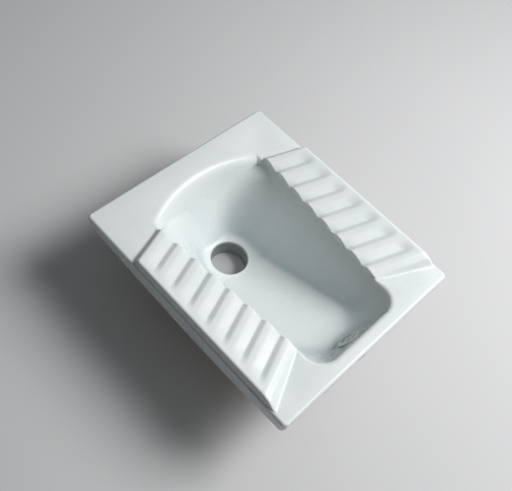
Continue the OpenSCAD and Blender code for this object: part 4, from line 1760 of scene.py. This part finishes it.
        bend, size = np.zeros(count), np.zeros(count)
        for here, there in ((a, b), (b, a)):
            step = place[there] - place[here]
            np.add.at(bend, here, 2 * weight * (step * normal[here]).sum(1))
            np.add.at(size, here, weight * (step**2).sum(1))
        # Hollows darker and convex edges lighter: partly pooled and thinned glaze, partly painted
        # shade.
        hollow = spread(bend / np.maximum(size, 1e-9), self.hollow_rounds)
        hollow = hollow * self.hollow_pool_and_shade * MM
        # Painted shade and light: steep side and foot walls darker with depth, lighter just below
        # the rim.
        depth = (self.deck.height - place[:, 2]) / (self.deck.height - self.bowl.floor(place[:, 1]))
        steep = np.maximum(np.abs(normal[:, 0]), normal[:, 1]) * (normal[:, 2] > 0.15)
        run = smooth_step(0.15, 0.95, depth) - 0.9 * smooth_step(0.45, 0.1, depth) * (depth > 0.04)
        run *= self.wall_shade_and_light * smooth_step(0.15, 0.6, steep)
        set_shares(piece, "pool", np.clip(0.5 + hollow + spread(run, self.wall_shade_rounds), 0, 1))
        mesh.attributes.remove(mesh.attributes["press"])
        mesh.shade_smooth()


# ---------------------------------------------------------------------------
# Luted parts and fittings
# ---------------------------------------------------------------------------


@dataclass
class OutletHorn:
    """Spigot below the outlet, combed so that the seal keys to it."""

    bore_r: float = 39 * MM
    wall: float = 12 * MM
    height: float = 33 * MM
    flare: float = 5 * MM
    chamfer: float = 2 * MM
    centre_y: float = 88 * MM
    comb_from: float = 4 * MM
    comb_to: float = 22 * MM
    comb_depth: float = 0.22 * MM
    comb_wave: float = 0.55 * MM
    sides: int = 160

    def build(self, finish: Material) -> Piece:
        """Turns the spigot.

        Args:
            finish: The bisque.

        Returns:
            The piece.
        """
        outer = self.bore_r + self.wall
        top = self.height + 1.5 * MM
        corners = [
            (self.bore_r, 0, 1.2 * MM),
            (outer, 0, self.chamfer),
            (outer, self.height - 9 * MM, 9 * MM),
            (outer + self.flare, self.height, 1.2 * MM),
            (outer + self.flare - 2 * MM, top, 0),
            (self.bore_r, top - 1.4 * MM, 0),
        ]
        dense = restep_loop(rounded_outline(corners, 8), 140, 4 * MM)
        radius, z = dense[:, 0], dense[:, 1]
        combed = (radius > outer - 0.05 * MM) & (z > self.comb_from) & (z < self.comb_to)
        comb = self.comb_depth * (1 + np.sin(z / self.comb_wave)) / 2
        dense[:, 0] -= np.where(combed, comb, 0)
        middle = Vector((0, self.centre_y, 0))
        piece = turned_piece("outlet_horn_china", dense, middle, UP, finish, self.sides)
        # Glazed bore, which the bisque paints near black as shade.
        glazed = smooth_step(self.bore_r + 2 * MM, self.bore_r + 0.5 * MM, dense[:, 0])
        set_shares(piece, "glazed", np.repeat(glazed, self.sides))
        return piece


@dataclass
class InletSpud:
    """Socket for the flush pipe's bush, luted to the bowl's foot wall."""

    outer_r: float = 27 * MM
    bore_r: float = 18.2 * MM
    socket_r: float = 22 * MM
    socket_l: float = 20 * MM
    end_y: float = -258 * MM
    wall_y: float = -239 * MM
    height: float = 155 * MM
    fillet: float = 6 * MM

    def build(self, finish: Material) -> Piece:
        """Turns the socket.

        Args:
            finish: The bisque.

        Returns:
            The piece.
        """
        depth = self.wall_y - self.end_y
        corners = [
            (self.bore_r, depth + 5 * MM, 0),
            (self.bore_r, self.socket_l - 3 * MM, 0.6 * MM),
            (self.socket_r, self.socket_l - 0.2 * MM, 0.6 * MM),
            (self.socket_r, 0, 1.4 * MM),
            (self.outer_r, 0, 2.2 * MM),
            (self.outer_r, depth - 3 * MM, 6 * MM),
            (self.outer_r + self.fillet, depth + 3.5 * MM, 0.8 * MM),
            (self.outer_r + self.fillet - 2 * MM, depth + 5 * MM, 0),
        ]
        outline = restep_loop(rounded_outline(corners, 6), 110, 4 * MM)
        end = Vector((0, self.end_y, self.height))
        return turned_piece("inlet_spud_china", outline, end, HEADWARDS, finish)


@dataclass
class InletBush:
    """Rubber bush with a flange and inner lips that grip the flush pipe."""

    grip_r: float = 15.8 * MM
    socket_r: float = 21.8 * MM
    flange_r: float = 23.2 * MM
    depth: float = 20 * MM
    flange_t: float = 2.5 * MM
    end_y: float = -258 * MM
    height: float = 155 * MM
    lips: int = 3

    def build(self, finish: Material) -> Piece:
        """Turns the bush.

        Args:
            finish: The rubber.

        Returns:
            The piece.
        """
        inner = self.grip_r + 1.6 * MM
        corners = [
            (inner, self.depth, 0.8 * MM),
            (self.socket_r - 2 * MM, self.depth, 0.4 * MM),
            (self.socket_r, self.depth - 2 * MM, 0.6 * MM),
            (self.socket_r, 0, 0.3 * MM),
            (self.flange_r, 0, 0.6 * MM),
            (self.flange_r, -self.flange_t, 1.6 * MM),
            (inner + 2 * MM, -self.flange_t, 1.2 * MM),
            (inner, -self.flange_t + 2.5 * MM, 0.8 * MM),
        ]
        step = self.depth / self.lips
        for k in range(self.lips):
            low = (k + 0.15) * step
            corners += [
                (inner, low, 0.3 * MM),
                (self.grip_r, low + 0.35 * step, 0.6 * MM),
                (inner, low + 0.6 * step, 0.3 * MM),
            ]
        end = Vector((0, self.end_y, self.height))
        outline = rounded_outline(corners, 4)
        return turned_piece("inlet_bush_rubber", outline, end, HEADWARDS, finish)


@dataclass
class OutletSeal:
    """Rubber sleeve round the horn, with soft lips that seal in the drain."""

    bore_r: float = 51.2 * MM
    wall: float = 3 * MM
    lip: float = 3 * MM
    foot_z: float = 5 * MM
    height: float = 22 * MM
    lead: float = 3 * MM
    lips: int = 3
    centre_y: float = 88 * MM

    def build(self, finish: Material) -> Piece:
        """Turns the sleeve and sets its lips round it with a node tree.

        Args:
            finish: The rubber.

        Returns:
            The piece.
        """
        outer = self.bore_r + self.wall
        corners = [
            (self.bore_r, 0, 0.5 * MM),
            (outer, 0, 1.2 * MM),
            (outer, self.height, 0.8 * MM),
            (self.bore_r, self.height, 0.8 * MM),
        ]
        foot = Vector((0, self.centre_y, self.foot_z))
        sleeve = turned_piece("outlet_seal_rubber", rounded_outline(corners, 4), foot, UP, finish)
        pitch = (self.height - self.lead) / self.lips
        fin = rounded_outline(
            [
                (outer - 0.6 * MM, 0, 0),
                (outer, 0, 0.4 * MM),
                (outer + self.lip, 0.55 * pitch, 0.5 * MM),
                (outer + self.lip, 0.72 * pitch, 0.5 * MM),
                (outer, 0.8 * pitch, 0.4 * MM),
                (outer - 0.6 * MM, 0.8 * pitch, 0),
            ],
            4,
        )
        lip = turned_piece("seal_lip", fin, Vector(), UP, finish)
        tree = ShapeTree("seal_lips", finish)
        count = tree.size("Lips", self.lips, "NodeSocketInt")
        gap = tree.size("Lip pitch", pitch)
        first = tree.size("First lip", self.foot_z + self.lead)
        middle = tree.size("Centre along", self.centre_y)
        rows = tree.put("GeometryNodeMeshLine")
        tree.join(count, rows.inputs["Count"])
        tree.join(tree.vector(Y=middle, Z=first), rows.inputs["Start Location"])
        tree.join(tree.vector(Z=gap), rows.inputs["Offset"])
        lips = tree.stamp(rows.outputs[0], lip)
        both = tree.put("GeometryNodeJoinGeometry")
        tree.join(tree.start.outputs["Geometry"], both.inputs[0])
        tree.join(lips, both.inputs[0])
        tree.close(both.outputs[0])
        tree.shape(sleeve)
        bpy.data.objects.remove(lip)
        return sleeve


@dataclass
class BearingWeb:
    """Web under the foot end, arched between two feet and luted to the bowl."""

    thickness: float = 14 * MM
    from_foot: float = 122 * MM
    foot_half: float = 88 * MM
    top_half: float = 76 * MM
    arch_half: float = 54 * MM
    sink: float = 3 * MM
    edge_r: float = 2 * MM
    columns: int = 120
    rows: int = 40

    def build(self, pan: GlazedPan, skin: BVHTree, finish: Material) -> Piece:
        """Draws the web up to the bowl's underside.

        Args:
            pan: The pan that it carries.
            skin: The pan's faces.
            finish: The bisque.

        Returns:
            The piece.
        """
        middle = -pan.deck.half_l + self.from_foot
        half_t = self.thickness / 2
        sides = [self.side(pan.bowl, skin, y) for y in (middle - half_t, middle + half_t)]
        n, m = self.columns, self.rows
        other = n * m
        faces = []
        for base in (0, other):
            for i in range(n - 1):
                for a in range(base + i * m, base + i * m + m - 1):
                    faces.append((a, a + m, a + m + 1, a + 1))
        rims = [(i * m + j, (i + 1) * m + j) for i in range(n - 1) for j in (0, m - 1)]
        rims += [(i * m + j, i * m + j + 1) for i in (0, n - 1) for j in range(m - 1)]
        faces += [(a, b, b + other, a + other) for a, b in rims]
        points = np.concatenate(sides)
        piece = mesh_piece("bearing_web_china", points, faces, finish)
        bevel = piece.modifiers.new("soft_edges", "BEVEL")
        bevel.width = self.edge_r
        bevel.segments = 3
        bevel.limit_method = "ANGLE"
        bevel.angle_limit = math.radians(50)
        settle(piece)
        piece.data.shade_smooth()
        return piece

    def side(self, bowl: Bowl, skin: BVHTree, y: float) -> Array:
        """Points of one side of the web, from its arch up to the bowl.

        Args:
            bowl: The bowl that it is luted to.
            skin: The pan's faces.
            y: Place along the pan.

        Returns:
            The points, one in each row, column by column.
        """
        lean = (self.foot_half - self.top_half) / bowl.floor_z
        points = []
        for a in np.linspace(-1, 1, self.columns):
            low = math.sqrt(max(self.arch_half**2 - (a * self.foot_half) ** 2, 0.0))
            top = self.ceiling(skin, a * self.top_half, y) + self.sink
            for share in np.linspace(0, 1, self.rows):
                z = low + (top - low) * share
                points.append((a * (self.foot_half - lean * min(z, bowl.floor_z)), y, z))
        return np.array(points)

    @staticmethod
    def ceiling(skin: BVHTree, x: float, y: float) -> float:
        """Height of the bowl's underside.

        Args:
            skin: The pan's faces.
            x: Place across the pan.
            y: Place along the pan.

        Returns:
            The height of the first face above.
        """
        hit, *_ = skin.ray_cast(Vector((x, y, MM)), UP)
        return hit.z if hit else 0.1


@dataclass
class FlushSpreader:
    """Slotted cap over the inlet that spreads the flush over the floor."""

    radius: float = 24 * MM
    thickness: float = 3 * MM
    stub_r: float = 17.8 * MM
    stub_l: float = 12 * MM
    slots: int = 5
    spread: float = math.radians(140)
    slot_l: float = 11 * MM
    slot_w: float = 3.5 * MM
    height: float = 155 * MM

    @staticmethod
    def seat(skin: BVHTree, z: float) -> float:
        """Place of the bowl's foot wall at a height.

        Args:
            skin: The pan's faces.
            z: The height.

        Returns:
            The place along the pan.
        """
        hit, *_ = skin.ray_cast(Vector((0, -0.1, z)), -HEADWARDS)
        return hit.y

    def build(self, skin: BVHTree, finish: Material) -> Piece:
        """Turns the cap, cuts its slots with a node tree and lays it on the wall.

        Args:
            skin: The pan's faces.
            finish: The plastic.

        Returns:
            The piece.
        """
        top = self.thickness
        corners = [
            (0.4 * MM, top, 0),
            (self.radius, top - 0.6 * MM, 1.2 * MM),
            (self.radius, 0, 0.5 * MM),
            (self.stub_r, 0, 0.3 * MM),
            (self.stub_r, -self.stub_l, 0.8 * MM),
            (self.stub_r - 2.4 * MM, -self.stub_l, 0.8 * MM),
            (self.stub_r - 2.4 * MM, -0.2 * MM, 0.6 * MM),
            (0.4 * MM, -0.2 * MM, 0),
        ]
        high, low = (self.seat(skin, self.height + k * 0.8 * self.radius) for k in (1, -1))
        away = Vector((0, 1.6 * self.radius, low - high)).normalized()
        outline = rounded_outline(corners, 5)
        cap = turned_piece("flush_spreader_plastic", outline, Vector(), UP, finish, 96)
        bm = bmesh.new()
        bmesh.ops.create_cube(bm, size=1.0)
        bmesh.ops.scale(bm, vec=(self.slot_l, self.slot_w, 4 * self.thickness), verts=bm.verts)
        edges = [e for e in bm.edges if abs((e.verts[0].co - e.verts[1].co).z) > self.thickness]
        bmesh.ops.bevel(bm, geom=edges, offset=self.slot_w * 0.45, segments=5, affect="EDGES")
        cutter = add_tool("slot", bm)
        tree = ShapeTree("spreader_slots", finish)
        count = tree.size("Slots", self.slots, "NodeSocketInt")
        spread = tree.size("Slot spread", self.spread)
        reach = tree.size("Slot distance", self.slot_l)
        points = tree.put("GeometryNodePoints")
        tree.join(count, points.inputs["Count"])
        index = tree.put("GeometryNodeInputIndex").outputs[0]
        share = tree.math("DIVIDE", index, tree.math("SUBTRACT", count, 1.0))
        angle = tree.math("MULTIPLY", tree.math("SUBTRACT", share, 0.5), spread)
        angle = tree.math("ADD", angle, math.pi / 2)
        x, y = (tree.math("MULTIPLY", tree.math(k, angle), reach) for k in ("COSINE", "SINE"))
        tree.join(tree.vector(X=x, Y=y), points.inputs["Position"])
        tools = tree.stamp(points.outputs[0], cutter, tree.vector(Z=angle))
        real = tree.put("GeometryNodeRealizeInstances")
        tree.join(tools, real.inputs[0])
        cut = tree.put("GeometryNodeMeshBoolean", operation="DIFFERENCE")
        tree.join(tree.start.outputs["Geometry"], cut.inputs["Mesh 1"])
        tree.join(real.outputs[0], cut.inputs["Mesh 2"])
        tree.close(cut.outputs["Mesh"])
        tree.shape(cap)
        bpy.data.objects.remove(cutter)
        turn_to = UP.rotation_difference(away).to_matrix().to_4x4()
        cap.data.transform(Matrix.Translation((0, (high + low) / 2, self.height)) @ turn_to)
        cap.data.shade_smooth()
        return cap


# ---------------------------------------------------------------------------
# Studio
# ---------------------------------------------------------------------------


@dataclass
class Studio:
    """Camera at the photograph's view, soft key light, pale floor and sky."""

    eye: tuple[float, float, float] = (-0.5948, -0.3575, 1.2645)
    turn: tuple[float, float, float] = (2.46988691, -0.933473592, 0.459696884)
    lens: float = 47.119
    key_way: tuple[float, float, float] = (0.492, -0.413, 0.766)
    key_distance: float = 2.6
    key_size: float = 1.25
    key_power: float = 80.0
    sky_high: float = 0.33
    sky_low: float = 0.02
    backdrop: float = 0.62
    tint: Colour = (0.93, 0.97, 1.0)
    floor_half: float = 12.0
    sensor: float = 36.0
    view_end: float = 60.0
    aim_height: float = 0.15

    def build(self, paper: Material) -> None:
        """Sets up everything that isn't part of the pan.

        Args:
            paper: The floor's finish.
        """
        self.camera()
        self.lights()
        self.sky()
        corners = ((-1, -1, 0), (1, -1, 0), (1, 1, 0), (-1, 1, 0))
        points = self.floor_half * np.array(corners)
        floor = mesh_piece("studio_floor", points, [(0, 1, 2, 3)], paper)

    def camera(self) -> None:
        """Places the camera as it stood for the photograph."""
        data = bpy.data.cameras.new("photo_view")
        data.lens = self.lens
        data.sensor_width = self.sensor
        data.clip_end = self.view_end
        camera = add_object("photo_view", data)
        spin = Vector(self.turn)
        seen = Matrix.Rotation(spin.length, 3, spin.normalized())
        flip = Matrix(((1, 0, 0), (0, -1, 0), (0, 0, -1)))
        camera.matrix_world = Matrix.Translation(self.eye) @ (seen.transposed() @ flip).to_4x4()
        bpy.context.scene.camera = camera

    def lights(self) -> None:
        """Hangs the soft key light."""
        lamp = bpy.data.lights.new("key", "AREA")
        lamp.shape = "SQUARE"
        lamp.size = self.key_size
        lamp.energy = self.key_power
        key = add_object("key", lamp)
        way = Vector(self.key_way).normalized()
        key.location = way * self.key_distance + self.aim_height * UP
        key.rotation_euler = way.to_track_quat("Z", "Y").to_euler()

    def sky(self) -> None:
        """Grades the sky from pale overhead to darker at the horizon."""
        world = bpy.data.worlds.new("studio")
        bpy.context.scene.world = world
        world.use_nodes = True
        sheet = Sheet(world.node_tree)
        back = world.node_tree.nodes["Background"]
        place = sheet.put("ShaderNodeTexCoord")
        split = sheet.put("ShaderNodeSeparateXYZ")
        sheet.join(place.outputs["Generated"], split.inputs[0])
        height = sheet.math("MAXIMUM", split.outputs["Z"], 0.0)
        rise = sheet.math("POWER", height, 3.0)
        glow = sheet.math("MULTIPLY", rise, self.sky_high - self.sky_low)
        glow = sheet.math("ADD", glow, self.sky_low)
        seen = sheet.put("ShaderNodeLightPath").outputs["Is Camera Ray"]
        plain = sheet.math("MULTIPLY", seen, sheet.math("SUBTRACT", self.backdrop, glow))
        sheet.join(sheet.math("ADD", glow, plain), back.inputs["Strength"])
        back.inputs["Color"].default_value = (*self.tint, 1.0)


# ---------------------------------------------------------------------------
# Assembly
# ---------------------------------------------------------------------------


def enter(piece: Piece, slot: Slot, *nodes: str) -> None:
    """Ties a finished piece to the frame and reports it.

    Args:
        piece: The piece.
        slot: The material slot that it takes its finish from. Not used.
        nodes: CAD nodes that it stands for.
    """
    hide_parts(*nodes)
    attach(piece, "root")
    piece.data.calc_loop_triangles()
    count = len(piece.data.loop_triangles)
    log.info("%s: %d triangles, for %s", piece.name, count, ", ".join(nodes))


def main() -> None:
    """Builds the pan, its fittings and the studio."""
    logging.basicConfig(level=logging.INFO, format="%(name)s %(message)s")
    bpy.context.scene.view_settings.view_transform = "Standard"
    glaze, bisque = GlazedChina().make(), BisqueChina().make()
    plastic, rubber = MouldedPlastic().make(), MouldedRubber().make()

    pan = GlazedPan()
    china = pan.build(glaze)
    pan.dress(china)
    skin = BVHTree.FromObject(china, bpy.context.evaluated_depsgraph_get())
    enter(china, Slot.GLAZE, "deck", "left_tread", "right_tread", "bowl")
    enter(OutletHorn().build(bisque), Slot.BISQUE, "outlet_horn")
    enter(InletSpud().build(bisque), Slot.BISQUE, "inlet_spud")
    enter(BearingWeb().build(pan, skin, bisque), Slot.BISQUE, "bearing_web")
    enter(FlushSpreader().build(skin, plastic), Slot.PLASTIC, "flush_spreader")
    enter(InletBush().build(rubber), Slot.RUBBER, "inlet_bush")
    enter(OutletSeal().build(rubber), Slot.RUBBER, "outlet_seal")

    Studio().build(StudioPaper().make())


if __name__ == "__main__":
    main()
